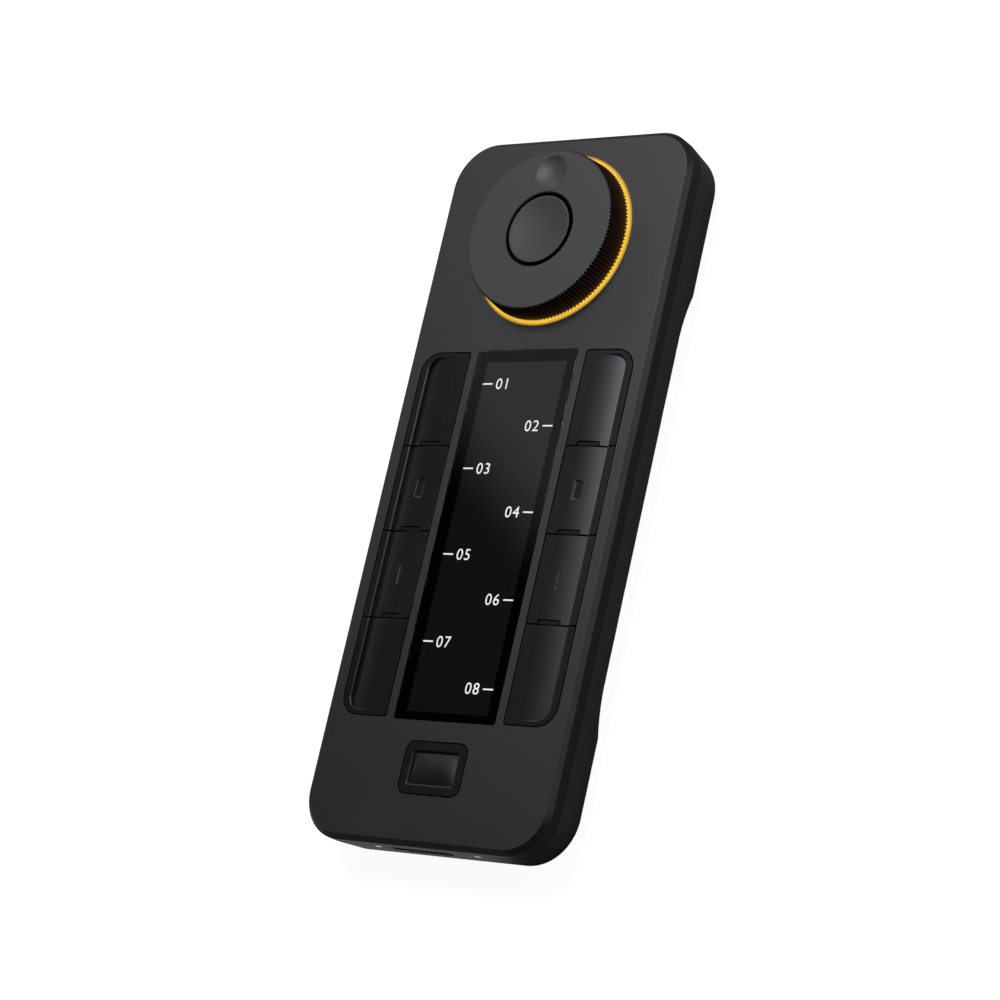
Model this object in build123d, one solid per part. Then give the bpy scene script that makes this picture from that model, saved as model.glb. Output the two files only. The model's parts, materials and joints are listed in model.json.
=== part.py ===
from build123d import *
import math
import os

# Hand-held macro keypad: a slim case with a lit display between two columns of keys,
# a set button below it and a large knurled dial above it. Millimetres.
# The origin is on the desk under the middle of the case: +Y points to the dial end,
# +X to the right-hand keys and +Z up, out of the face.

# ---- Case ----
THICKNESS = 12.0        # case, face to underside
CORNER = 10.0           # plan corner of the case
BEVEL_IN = 1.09         # bevel round the face, measured across the face
BEVEL_DROP = 0.95       # the same bevel, measured down the side
EDGE_ROUND = 0.18       # softened edge between face and bevel
PARTING = 8.5           # joint line between the two shells, above the underside
SEAM = 0.22             # shadow gap at the joint line
DRAFT = 0.55            # how far the lower shell leans in at the underside
UNDER_CORNER = 10.7     # plan corner of the lower shell at the underside
UNDER_ROUND = 1.6       # rounded edge all round the underside
WALL = 1.8
TOP_PLATE = 1.6
FLOOR = 1.3
LAP_HEIGHT = 1.2        # tongue of the lower shell behind the skirt of the upper one
LAP_SKIRT = 1.0
LAP_CLEAR = 0.1

# ---- Underside ----
RECESS = 1.85           # raised middle of the underside
BLOCK_LOW = 28.0        # standing block at the bottom end
BLOCK_HIGH = 33.6       # standing block at the dial end
RAMP = 11.0             # hollow curve from each block up to the raised middle
FOOT_PROUD = 0.3
FOOT_SEAT = 0.5         # depth of the pocket that holds a foot
FOOT_MARGIN = 0.9       # flat case left round a foot
FOOT_LENGTH = 15.0
FOOT_CLEAR = 0.05

# ---- Stack across the face: display, bar, keys, bar, side ----
GLASS_WIDTH = 26.44
KEY_BAR = 1.91
KEY_WIDTH = 12.87
SIDE_BAR = 3.6

# ---- Stack along the face, from the bottom end ----
SET_MARGIN = 10.56
SET_LENGTH = 11.42
SET_BAR = 4.22
END_KEY_LENGTH = 21.46
KEY_LENGTH = 19.32
GLASS_OVER = 0.22       # the glass runs past the key columns at each end
DIAL_BAR = 6.39
DIAL_BASE_R = 18.9
DIAL_MARGIN = 5.21

# ---- Display ----
GLASS_THICK = 0.8
GLASS_CLEAR = 0.08
GLASS_LEDGE = 1.8       # the glass rests on this much of the plate
PANEL_THICK = 1.55
PANEL_CLEAR = 0.2
BRACKET_THICK = 0.3
FLEX_WIDTH = 12.0
FLEX_RUN = 3.9          # how far the flex reaches past the panel
FLEX_PLUG_DEEP = 3.0

# ---- Keys ----
KEY_TRAVEL = 0.6
KEY_GAP = 0.32          # between neighbouring keys
WELL_GAP = 0.28         # between keys and case
KEY_CORNER = 4.7
KEY_INNER_CORNER = 0.6
FLANGE_OUT = 0.8        # flange under the plate that keeps a key in
FLANGE_THICK = 0.85
FLANGE_GAP = 0.15
KEY_SKIN = 1.2
KEY_SIDE = 1.4
SCOOP_START = 3.4       # flat strip on the display side of each key
SCOOP_RIM = 2.2         # flat rim on the other side
SCOOP_DEEP = 0.7
SCOOP_END = 1.55        # flat rim at both ends of a column
SCOOP_CORNER = 2.8
SCOOP_ROLL = 0.5        # rolled shoulder of the rim
MARK_DEEP = 0.13
MARK_WIDTH = 1.7
MARK_LENGTH = 3.6
MARK_LINE = 0.1
MARK_SLOPE = 2.2         # run of a mark's walls for each unit of depth
MARK_IN = 0.75          # marks lie this much nearer the display than the middle of the key
RIB_WIDTH = 5.3         # finger rib between two keys
RIB_LENGTH = 0.75
RIB_START = 3.05        # from the display side of the key
RIB_DROP = 0.35         # rib top below the face
RIB_GAP = 0.2
RIB_CORNER = 0.4        # rounded corners of a rib, towards the dial
STEM_R = 1.1
STEM_CLEAR = 0.2

# ---- Set button ----
SET_WIDTH = 16.24
SET_CORNER = 2.3
SET_RIM = 1.87
SET_DISH = 0.55
SET_ROLL = 0.5          # rolled upper edge of the dish
SET_PEAK = 0.5          # low pyramid in the dish
SET_PEAK_WIDTH = 2.2
SET_PEAK_LENGTH = 0.7
SET_TRAVEL = 0.5

# ---- Dial ----
DIAL_TOP_R = 18.35
DIAL_PROUD = 5.79
DIAL_GAP = 0.15         # under the edge of the dial
TEETH = 136
TOOTH_DEEP = 0.5
WEB_THICK = 1.9
WHEEL_WALL = 2.0
LIP_R = 8.5             # hole for the button in the top of the dial
LIP_BEVEL = 0.25        # bevel round that hole
LIP_THICK = 2.2
HUB_WALL = 1.3
DIMPLE_R = 3.95
DIMPLE_DEEP = 0.85
DIMPLE_BAR = 1.25       # flat left between the dimple and the edge of the dial
RUNNING = 0.05          # radial running clearance
BUSH_WALL = 1.75
BUSH_FLANGE = 1.3
BUSH_FLANGE_THICK = 0.5
CLIP_THICK = 0.5
CLIP_GROOVE = 0.5
CLIP_OUT = 1.0
CLIP_MOUTH = 40.0       # open part of the clip, degrees
CODE_RING_THICK = 0.55
CODE_RING_GAP = 0.15
SENSOR_THICK = 0.5
SENSOR_SIDE = 2.2

# ---- Dial button ----
BUTTON_GAP = 0.8        # dark ring round the button
BUTTON_DISH = 0.9
BUTTON_RIM = 0.5
BUTTON_SKIN = 1.3
BUTTON_COLLAR = 0.5     # collar wider than the hole, so that the button stays in
BUTTON_TRAVEL = 0.5
BUTTON_SKIRT = 0.85
SKIRT_LENGTH = 4.5
GUIDE_POST_WALL = 0.9
GUIDE_POST_OVERLAP = 2.8
POST_FLANGE = 1.1

# ---- Light ring ----
LIGHT_GAP = 0.15
LIGHT_WIDTH = 0.67
LIGHT_RECESS = 1.0
LIGHT_FLANGE_THICK = 0.5
LIGHT_FLANGE_IN = 2.4
SEAT_THICK = 1.6
SEAT_OUT = 1.8
LIGHT_LEGS = 8
LIGHT_LEG_R = 0.9
LIGHT_LEG_IN = 0.9
EMITTER_SIDE = 1.6
EMITTER_THICK = 0.7

# ---- Board and what stands on it ----
BOARD_THICK = 1.0
BOARD_SIDE_INSET = 3.9
BOARD_END_INSET = 3.3
GUIDE_THICK = 0.5
SWITCH_SIDE = 4.5
SWITCH_TALL = 1.2
DIAL_SWITCH_SIDE = 6.0
DIAL_SWITCH_TALL = 1.7
TIP_IN = 0.2            # how far a stem stands in its switch at rest
TIP_CLEAR = 0.1         # left under a stem that is fully pressed
CHIP_SIDE = 7.0
CHIP_THICK = 0.9
SHIELD_WIDTH = 14.0
SHIELD_LENGTH = 10.0
SHIELD_TALL = 1.4
SHIELD_SKIN = 0.2
AIR = 0.3

# ---- Battery ----
BATTERY_WIDTH = 42.0
BATTERY_LENGTH = 70.0
BATTERY_ROUND = 1.2
LEAD_R = 0.55
LEAD_PITCH = 2.0
LEAD_LENGTH = 3.0
PLUG_WIDTH = 6.0
PLUG_LENGTH = 4.0
PLUG_TALL = 2.0

# ---- Screws ----
SCREW_SIDE = 7.0        # case screws, from the sides and from the ends
SCREW_END = 7.6
SCREW_R = 0.95
SCREW_HEAD_R = 1.9
SCREW_HEAD = 1.2
SCREW_SEAT = 1.2        # floor under a screw head
BOSS_WALL = 1.4
THREAD_CLEAR = 0.03
HEX_R = 0.8
HEX_DEEP = 0.6
BOARD_SCREW_R = 0.8
BOARD_SCREW_HEAD_R = 1.7
BOARD_SCREW_HEAD = 0.8
BOARD_SCREW_GRIP = 2.4
BOARD_POST_R = 2.2
BOARD_POST_X = 24.6
BOARD_POST_FROM_END = 20.8
BOARD_POST_FROM_DIAL = 18.7

# ---- Power slider and end lights ----
SLIDER_LENGTH = 11.2
SLIDER_TRAVEL = 3.5
SLIDER_CLEAR = 0.15
SLIDER_PROUD = 0.15
SLIDER_RIBS = 9
SLIDER_GROOVE = 0.55
SLIDER_GROOVE_DEEP = 0.45
SLOT_TALL = 2.4
SLIDER_PLATE = 0.6
SLIDER_PLATE_OUT = 1.4
SLIDER_PLATE_UP = 0.3
PEG_WIDTH = 1.6
PEG_LENGTH = 1.5
SWITCH_BODY_WIDTH = 12.0
SWITCH_BODY_LENGTH = 3.6
SWITCH_BODY_TALL = 1.7
STATUS_X = 12.9
STATUS_WIDTH = 1.4
STATUS_TALL = 0.85
STATUS_LED = 0.8

# ---- Charging socket ----
USB_WIDTH = 8.94
USB_TALL = 3.16
USB_DEPTH = 7.0
USB_SKIN = 0.3
USB_CLEAR = 0.15
USB_SET_BACK = 0.15
USB_TONGUE_WIDTH = 6.69
USB_TONGUE_THICK = 0.7
USB_BACK = 1.2
USB_TONGUE_SHORT = 0.8

# ---- Levels and places that follow from the sizes ----
COLUMN_LENGTH = 2 * (END_KEY_LENGTH + KEY_LENGTH)
GLASS_LENGTH = COLUMN_LENGTH + 2 * GLASS_OVER
WIDTH = GLASS_WIDTH + 2 * (KEY_BAR + KEY_WIDTH + SIDE_BAR)
LENGTH = SET_MARGIN + SET_LENGTH + SET_BAR + GLASS_LENGTH + DIAL_BAR + 2 * DIAL_BASE_R + DIAL_MARGIN
END = LENGTH / 2
SIDE = WIDTH / 2
SET_Y = -END + SET_MARGIN + SET_LENGTH / 2
GLASS_Y = -END + SET_MARGIN + SET_LENGTH + SET_BAR + GLASS_LENGTH / 2
DIAL_Y = END - DIAL_MARGIN - DIAL_BASE_R
COLUMN_X = GLASS_WIDTH / 2 + KEY_BAR + KEY_WIDTH / 2
COLUMN_TOP = GLASS_Y + COLUMN_LENGTH / 2
KEY_EDGES = [COLUMN_TOP, COLUMN_TOP - END_KEY_LENGTH, GLASS_Y,
             COLUMN_TOP - END_KEY_LENGTH - 2 * KEY_LENGTH, COLUMN_TOP - COLUMN_LENGTH]

UNDERSIDE = FOOT_PROUD
FACE = UNDERSIDE + THICKNESS
PARTING_Z = UNDERSIDE + PARTING
CASE_TOP = PARTING_Z - SEAM
PLATE_UNDER = FACE - TOP_PLATE
RAISED = UNDERSIDE + RECESS
FLOOR_TOP = RAISED + FLOOR
BLOCK_FLOOR_TOP = UNDERSIDE + FOOT_SEAT + FLOOR
FLANGE_TOP = PLATE_UNDER - FLANGE_GAP
KEY_BOTTOM = FLANGE_TOP - FLANGE_THICK
GUIDE_TOP = KEY_BOTTOM - KEY_TRAVEL - LAP_CLEAR
SWITCH_TOP = GUIDE_TOP - GUIDE_THICK
BOARD_TOP = SWITCH_TOP - SWITCH_TALL
BOARD_BOTTOM = BOARD_TOP - BOARD_THICK
LIGHT_FLOOR = FACE - LIGHT_RECESS
SEAT_BOTTOM = LIGHT_FLOOR - SEAT_THICK
LIGHT_IN_R = DIAL_BASE_R + LIGHT_GAP
LIGHT_OUT_R = LIGHT_IN_R + LIGHT_WIDTH
LEG_CIRCLE_R = DIAL_BASE_R - LIGHT_LEG_IN
DIAL_TOP = FACE + DIAL_PROUD
BUTTON_R = LIP_R - BUTTON_GAP
COLLAR_R = LIP_R + BUTTON_COLLAR
HUB_BORE_R = COLLAR_R + RUNNING
HUB_R = HUB_BORE_R + HUB_WALL
BUSH_IN_R = HUB_R + RUNNING
BUSH_OUT_R = BUSH_IN_R + BUSH_WALL
SHOULDER_R = BUSH_IN_R + BUSH_FLANGE
CODE_RING_BOTTOM = BOARD_TOP + SENSOR_THICK + CODE_RING_GAP
HUB_BOTTOM = CODE_RING_BOTTOM + CODE_RING_THICK
SKIRT_IN_R = BUTTON_R - BUTTON_SKIRT
SKIRT_BOTTOM = DIAL_TOP - LIP_THICK - SKIRT_LENGTH
LIP_UNDER = DIAL_TOP - LIP_THICK
BOARD_X = SIDE - BOARD_SIDE_INSET
BOARD_Y = END - BOARD_END_INSET
SLOT_BOTTOM = CASE_TOP - SLOT_TALL
BATTERY_TOP = BOARD_BOTTOM - AIR
USB_Z = BOARD_BOTTOM - USB_TALL / 2
SCREW_SPOTS = [(x * (SIDE - SCREW_SIDE), y * (END - SCREW_END)) for x in (-1, 1) for y in (-1, 1)]
BOARD_SCREW_SPOTS = [(x * BOARD_POST_X, y) for x in (-1, 1)
                     for y in (-END + BOARD_POST_FROM_END, DIAL_Y - BOARD_POST_FROM_DIAL)]
KEY_SPOTS = [(side * COLUMN_X, (KEY_EDGES[row] + KEY_EDGES[row + 1]) / 2)
             for side in (-1, 1) for row in range(4)]


# ---- Plain shapes ----
def block(low, high):
    """Box between two opposite corners."""
    size = [b - a for a, b in zip(low, high)]
    return Pos(*low) * Box(*size, align=(Align.MIN, Align.MIN, Align.MIN))


def slab(width, length, radius, low, high, x=0.0, y=0.0):
    """Upright plate with rounded plan corners."""
    plan = RectangleRounded(width, length, radius)
    return extrude(Pos(x, y, low) * plan, amount=high - low)


def rod(x, y, radius, low, high):
    return Pos(x, y, low) * Cylinder(radius, high - low, align=(Align.CENTER, Align.CENTER, Align.MIN))


def tube(x, y, outer, inner, low, high):
    return rod(x, y, outer, low, high) - rod(x, y, inner, low, high)


def leaning(inset_low, inset_high, low, high, corner_low=CORNER):
    """Case outline between two levels, with its own inset at each and its own corner radius below."""
    ends = []
    for inset, level, corner in ((inset_low, low, corner_low), (inset_high, high, CORNER)):
        plan = RectangleRounded(WIDTH - 2 * inset, LENGTH - 2 * inset, corner - inset)
        ends.append(Pos(0, 0, level) * plan)
    return loft(ends)


def upright(inset, low, high):
    return slab(WIDTH - 2 * inset, LENGTH - 2 * inset, CORNER - inset, low, high)


def draft_at(level):
    """How far the lower shell leans in at a level."""
    return DRAFT * (PARTING_Z - level) / PARTING


def key_plan(side, grow, low, high):
    """Outline of a whole key column: large corners on the outer side, small ones by the display."""
    plan = Rectangle(KEY_WIDTH + 2 * grow, COLUMN_LENGTH + 2 * grow)
    corners = plan.vertices().sort_by(Axis.X)
    outer, inner = (corners[2:], corners[:2]) if side > 0 else (corners[:2], corners[2:])
    plan = fillet(outer, KEY_CORNER + grow)
    inner = [v for v in plan.vertices() if abs(v.X + side * (KEY_WIDTH / 2 + grow)) < 1e-6]
    plan = fillet(inner, KEY_INNER_CORNER + grow)
    return extrude(Pos(side * COLUMN_X, GLASS_Y, low) * plan, amount=high - low)


def end_plane(y):
    """Upright plane across the case at the height of the charging socket, facing the dial end."""
    return Plane(origin=(0, y, USB_Z), x_dir=(-1, 0, 0), z_dir=(0, 1, 0))


def across(side, distance):
    """X of a point on a key column, measured from the display side of the column."""
    return side * (COLUMN_X - KEY_WIDTH / 2 + distance)


def screw(x, y, low, grip, shank_r, head_r, head, up):
    """Socket-head screw; up says whether its head is above the shank."""
    shank = rod(0, 0, shank_r, -grip, 0)
    cap = rod(0, 0, head_r, 0, head)
    cap = chamfer(cap.edges().sort_by(Axis.Z)[-1], head / 6)
    socket = extrude(Pos(0, 0, head - HEX_DEEP) * RegularPolygon(HEX_R, 6), amount=HEX_DEEP)
    turn = Rot(0, 0, 0) if up else Rot(180, 0, 0)
    return Pos(x, y, low) * turn * (shank + cap - socket)


# ---- Upper shell ----
def display_window():
    return slab(GLASS_WIDTH - 2 * GLASS_LEDGE, GLASS_LENGTH - 2 * GLASS_LEDGE, KEY_INNER_CORNER,
                PLATE_UNDER, FACE, y=GLASS_Y)


def top_shell():
    outer = upright(0, PARTING_Z, FACE - BEVEL_DROP)
    bevel = leaning(0, BEVEL_IN, FACE - BEVEL_DROP, FACE)
    shell = outer + bevel
    rim = shell.faces().sort_by(Axis.Z)[-1].edges()
    shell = fillet(rim, EDGE_ROUND)
    shell -= upright(LAP_SKIRT, PARTING_Z, PARTING_Z + LAP_HEIGHT)
    shell -= upright(WALL, PARTING_Z, PLATE_UNDER)
    for x, y in SCREW_SPOTS:
        shell += rod(x, y, SCREW_R + BOSS_WALL, BLOCK_FLOOR_TOP + SCREW_SEAT, PLATE_UNDER)
        shell -= rod(x, y, SCREW_R + THREAD_CLEAR, BLOCK_FLOOR_TOP + SCREW_SEAT, PLATE_UNDER - FLOOR)
    shell += rod(0, DIAL_Y, LIGHT_OUT_R + SEAT_OUT, SEAT_BOTTOM, PLATE_UNDER)
    shell -= rod(0, DIAL_Y, LIGHT_OUT_R + LAP_CLEAR / 2, LIGHT_FLOOR, FACE)
    shell -= rod(0, DIAL_Y, BUSH_OUT_R, SEAT_BOTTOM, FACE)
    for spot in PolarLocations(LEG_CIRCLE_R, LIGHT_LEGS):
        hole = rod(0, 0, LIGHT_LEG_R + LAP_CLEAR, SEAT_BOTTOM, LIGHT_FLOOR)
        shell -= Pos(0, DIAL_Y, 0) * spot * hole
    shell -= slab(GLASS_WIDTH, GLASS_LENGTH, KEY_INNER_CORNER, FACE - GLASS_THICK, FACE, y=GLASS_Y)
    shell -= display_window()
    for side in (-1, 1):
        shell -= key_plan(side, 0, PLATE_UNDER, FACE)
    shell -= slab(SET_WIDTH, SET_LENGTH, SET_CORNER, PLATE_UNDER, FACE, y=SET_Y)
    return shell


# ---- Lower shell ----
def underside_cut():
    """Raised middle of the underside, with a hollow ramp at each end."""
    radius = (RAMP ** 2 + RECESS ** 2) / (2 * RECESS)
    low, high = -END + BLOCK_LOW, END - BLOCK_HIGH
    half = math.asin(RAMP / radius) / 2
    rise = radius * (1 - math.cos(half))
    start, stop = (low, UNDERSIDE), (high, UNDERSIDE)
    flat_start, flat_stop = (low + RAMP, RAISED), (high - RAMP, RAISED)
    reach = radius * math.sin(half)
    lines = [
        ThreePointArc(start, (low + RAMP - reach, RAISED - rise), flat_start),
        Line(flat_start, flat_stop),
        ThreePointArc(flat_stop, (high - RAMP + reach, RAISED - rise), stop),
        Line(stop, (high, 0)),
        Line((high, 0), (low, 0)),
        Line((low, 0), start),
    ]
    profile = Plane.YZ * make_face(lines)
    return extrude(profile, amount=SIDE, both=True)


def foot_plan(end, grow, low, high):
    """One rubber foot: the case outline set in, cut to a strip at one end."""
    inset = DRAFT + UNDER_ROUND + FOOT_MARGIN - grow
    outline = upright(inset, low, high)
    inner_edge = END - inset - FOOT_LENGTH - 2 * grow
    strip = block((-SIDE, inner_edge, low), (SIDE, END, high))
    if end < 0:
        strip = Rot(0, 0, 180) * strip
    return outline & strip


def outer_case():
    """Outside of the lower shell: leaning walls, raised middle and a rounded edge all round the underside."""
    case = leaning(DRAFT, draft_at(CASE_TOP), UNDERSIDE, CASE_TOP, UNDER_CORNER + DRAFT)
    case -= underside_cut()
    rim = []
    for edge in case.edges():
        box = edge.bounding_box()
        crosses_whole_case = box.size.X > WIDTH - 2 * CORNER
        if box.max.Z < FLOOR_TOP and not crosses_whole_case:
            rim.append(edge)
    return fillet(rim, UNDER_ROUND)


def bottom_case():
    case = outer_case()
    high_wall = draft_at(CASE_TOP) + WALL
    middle = leaning(draft_at(FLOOR_TOP) + WALL, high_wall, FLOOR_TOP, CASE_TOP)
    case -= middle
    pocket = leaning(draft_at(BLOCK_FLOOR_TOP) + WALL, draft_at(FLOOR_TOP) + WALL, BLOCK_FLOOR_TOP, FLOOR_TOP)
    for low, high in ((-END, -END + BLOCK_LOW - FLOOR), (END - BLOCK_HIGH + FLOOR, END)):
        case -= pocket & block((-SIDE, low, BLOCK_FLOOR_TOP), (SIDE, high, FLOOR_TOP))
    tongue = upright(LAP_SKIRT + LAP_CLEAR, CASE_TOP, PARTING_Z + LAP_HEIGHT - LAP_CLEAR)
    case += tongue - upright(WALL + draft_at(CASE_TOP), CASE_TOP, PARTING_Z + LAP_HEIGHT)
    for end in (-1, 1):
        case -= foot_plan(end, FOOT_CLEAR, UNDERSIDE, UNDERSIDE + FOOT_SEAT)
    for x, y in SCREW_SPOTS:
        case += rod(x, y, SCREW_HEAD_R + BOSS_WALL / 2, BLOCK_FLOOR_TOP, BLOCK_FLOOR_TOP + SCREW_SEAT)
        case -= rod(x, y, SCREW_HEAD_R + LAP_CLEAR, UNDERSIDE, BLOCK_FLOOR_TOP)
        case -= rod(x, y, SCREW_R + LAP_CLEAR, UNDERSIDE, BLOCK_FLOOR_TOP + SCREW_SEAT)
    for x, y in BOARD_SCREW_SPOTS:
        base = BLOCK_FLOOR_TOP if y < -END + BLOCK_LOW - FLOOR else FLOOR_TOP
        case += rod(x, y, BOARD_POST_R, base, BOARD_BOTTOM)
        case -= rod(x, y, BOARD_SCREW_R + THREAD_CLEAR, BOARD_BOTTOM - BOARD_SCREW_GRIP, BOARD_BOTTOM)
    left = -SLIDER_LENGTH / 2 - SLIDER_TRAVEL - SLIDER_CLEAR
    right = SLIDER_LENGTH / 2 + SLIDER_CLEAR
    case -= block((left, -END, SLOT_BOTTOM), (right, -END + LAP_SKIRT + LAP_CLEAR, CASE_TOP))
    case -= block((left, -END, SLOT_BOTTOM), (right, -END + WALL + DRAFT, CASE_TOP - LAP_CLEAR))
    for side in (-1, 1):
        case -= block((side * STATUS_X - STATUS_WIDTH / 2, -END, CASE_TOP - STATUS_TALL - LAP_CLEAR),
                      (side * STATUS_X + STATUS_WIDTH / 2, -END + WALL + DRAFT, CASE_TOP - LAP_CLEAR))
    opening = RectangleRounded(USB_WIDTH + 2 * USB_CLEAR, USB_TALL + 2 * USB_CLEAR, USB_TALL / 2)
    case -= extrude(end_plane(END - WALL - DRAFT) * opening, amount=WALL + DRAFT)
    return case


def feet(end):
    return foot_plan(end, 0, 0, UNDERSIDE + FOOT_SEAT)


# ---- Display ----
def display_glass():
    return slab(GLASS_WIDTH - 2 * GLASS_CLEAR, GLASS_LENGTH - 2 * GLASS_CLEAR,
                KEY_INNER_CORNER - GLASS_CLEAR, FACE - GLASS_THICK, FACE, y=GLASS_Y)


PANEL_BOTTOM = FACE - GLASS_THICK - PANEL_THICK
PANEL_WIDTH = GLASS_WIDTH - 2 * (GLASS_LEDGE + PANEL_CLEAR)
PANEL_LENGTH = GLASS_LENGTH - 2 * (GLASS_LEDGE + PANEL_CLEAR)
PANEL_END = GLASS_Y + PANEL_LENGTH / 2
BRACKET_END = PANEL_END - FLEX_PLUG_DEEP / 2
FLEX_END = PANEL_END + FLEX_RUN


def display_panel():
    return slab(PANEL_WIDTH, PANEL_LENGTH, PANEL_CLEAR, PANEL_BOTTOM, FACE - GLASS_THICK, y=GLASS_Y)


def display_bracket():
    """Shallow tray under the panel whose walls reach up to the plate."""
    half = PANEL_WIDTH / 2 + PANEL_CLEAR
    start = GLASS_Y - PANEL_LENGTH / 2
    low = PANEL_BOTTOM - BRACKET_THICK
    tray = block((-half - BRACKET_THICK, start, low), (half + BRACKET_THICK, BRACKET_END, PANEL_BOTTOM))
    for side in (-1, 1):
        edges = sorted((side * half, side * (half + BRACKET_THICK)))
        tray += block((edges[0], start, low), (edges[1], BRACKET_END, PLATE_UNDER))
    return tray


def display_flex():
    """Flat cable from the end of the panel down to its plug on the board."""
    low = PANEL_BOTTOM - BRACKET_THICK
    half = FLEX_WIDTH / 2
    run = block((-half, BRACKET_END + BRACKET_THICK, low), (half, FLEX_END, PANEL_BOTTOM))
    drop = block((-half, FLEX_END - BRACKET_THICK, BOARD_TOP + CHIP_THICK), (half, FLEX_END, PANEL_BOTTOM))
    return run + drop


def display_plug():
    return block((-FLEX_WIDTH / 2 - AIR, FLEX_END - FLEX_PLUG_DEEP, BOARD_TOP),
                 (FLEX_WIDTH / 2 + AIR, FLEX_END, BOARD_TOP + CHIP_THICK))


# ---- Keys ----
def rolled_pocket(width, length, corner, depth, roll, x, y):
    """Cutter for a pocket in the face whose upper edge is rolled over."""
    hole = slab(width, length, corner, FACE - depth, FACE, x, y)
    cover = slab(width + 4 * roll, length + 4 * roll, corner + 2 * roll, FACE, FACE + depth, x, y)
    cutter = hole + cover
    surround = cutter.faces().filter_by(Axis.Z).sort_by(Axis.Z)[1]
    return cutter.fillet(roll, surround.inner_wires()[0].edges())


def scoop(side):
    """Finger channel: level by the display, falling away to a rolled shoulder at the outer rim."""
    reach = KEY_WIDTH - SCOOP_START - SCOOP_RIM
    radius = (reach ** 2 + SCOOP_DEEP ** 2) / (2 * SCOOP_DEEP)
    half = math.asin(reach / radius) / 2
    middle = (across(side, SCOOP_START + radius * math.sin(half)), FACE - radius * (1 - math.cos(half)))
    near, far = across(side, SCOOP_START), across(side, SCOOP_START + reach)
    past = across(side, SCOOP_START + reach + SCOOP_ROLL)
    lines = [
        ThreePointArc((near, FACE), middle, (far, FACE - SCOOP_DEEP)),
        Line((far, FACE - SCOOP_DEEP), (past, FACE - SCOOP_DEEP)),
        Line((past, FACE - SCOOP_DEEP), (past, FACE + SCOOP_DEEP)),
        Line((past, FACE + SCOOP_DEEP), (near, FACE + SCOOP_DEEP)),
        Line((near, FACE + SCOOP_DEEP), (near, FACE)),
    ]
    half_length = COLUMN_LENGTH / 2 - SCOOP_END
    profile = Plane(origin=(0, GLASS_Y, 0), x_dir=(1, 0, 0), z_dir=(0, -1, 0)) * make_face(lines)
    channel = extrude(profile, amount=half_length + SCOOP_ROLL, both=True)
    return channel & rolled_pocket(2 * reach, 2 * half_length, SCOOP_CORNER, SCOOP_DEEP, SCOOP_ROLL, near, GLASS_Y)


def mark(side, row):
    """Cutter for the touch mark of a middle key: a box or a line with sloping walls."""
    width = MARK_WIDTH if row == 1 else MARK_LINE
    x, y = across(side, KEY_WIDTH / 2 - MARK_IN), (KEY_EDGES[row] + KEY_EDGES[row + 1]) / 2
    sink = SCOOP_DEEP * ((KEY_WIDTH / 2 - MARK_IN - SCOOP_START) / (KEY_WIDTH - SCOOP_START - SCOOP_RIM)) ** 2
    depth = sink + MARK_DEEP
    spread = 2 * MARK_SLOPE * depth
    ends = [Pos(x, y, FACE - depth) * Rectangle(width, MARK_LENGTH),
            Pos(x, y, FACE) * Rectangle(width + spread, MARK_LENGTH + spread)]
    return loft(ends)


def finger_rib(side, row, grow, low, high):
    """Rib between two keys: square against the lower key, round-cornered in the upper one."""
    width, length = RIB_WIDTH + 2 * grow, RIB_LENGTH + grow
    plan = fillet(Rectangle(width, length).vertices().sort_by(Axis.Y)[2:], RIB_CORNER + grow)
    y = KEY_EDGES[row + 1] + KEY_GAP / 2 + length / 2
    return extrude(Pos(across(side, RIB_START + RIB_WIDTH / 2), y, low) * plan, amount=high - low)


def key(side, row):
    high = KEY_EDGES[row] - (KEY_GAP / 2 if row > 0 else -FLANGE_OUT)
    low = KEY_EDGES[row + 1] + (KEY_GAP / 2 if row < 3 else -FLANGE_OUT)
    band = block((-SIDE, low, KEY_BOTTOM), (SIDE, high, FACE))
    cap = key_plan(side, -WELL_GAP, KEY_BOTTOM, FACE) + key_plan(side, FLANGE_OUT, KEY_BOTTOM, FLANGE_TOP)
    cap = (cap & band) - scoop(side)
    x, y = side * COLUMN_X, (KEY_EDGES[row] + KEY_EDGES[row + 1]) / 2
    if row < 3:
        cap -= finger_rib(side, row, RIB_GAP, KEY_BOTTOM, FACE)
    if row in (1, 2):
        cap -= mark(side, row)
    hollow_top = FACE - SCOOP_DEEP - KEY_SKIN
    half = KEY_WIDTH / 2 - WELL_GAP - KEY_SIDE - KEY_CORNER / 2
    clear = RIB_LENGTH + 2 * RIB_GAP + KEY_SIDE
    cap -= block((x - half, low + clear + FLANGE_OUT, KEY_BOTTOM), (x + half, high - clear, hollow_top))
    cap += rod(x, y, STEM_R, SWITCH_TOP - TIP_IN, hollow_top)
    return cap


def key_guide(side):
    """Plate on the switches that guides the stems and carries the finger ribs."""
    inner, outer = across(side, WELL_GAP), across(side, KEY_WIDTH - WELL_GAP)
    x_low, x_high = sorted((inner, outer))
    plate = block((x_low, KEY_EDGES[4] + WELL_GAP, SWITCH_TOP), (x_high, KEY_EDGES[0] - WELL_GAP, GUIDE_TOP))
    for row in range(3):
        plate += finger_rib(side, row, 0, SWITCH_TOP, FACE - RIB_DROP)
    for x, y in KEY_SPOTS:
        if x * side > 0:
            plate -= rod(x, y, STEM_R + STEM_CLEAR, SWITCH_TOP, GUIDE_TOP)
    for y in (KEY_EDGES[0] - KEY_CORNER, KEY_EDGES[4] + KEY_CORNER):
        plate += rod(side * COLUMN_X, y, STEM_R, BOARD_TOP, SWITCH_TOP)
    return plate


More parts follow.
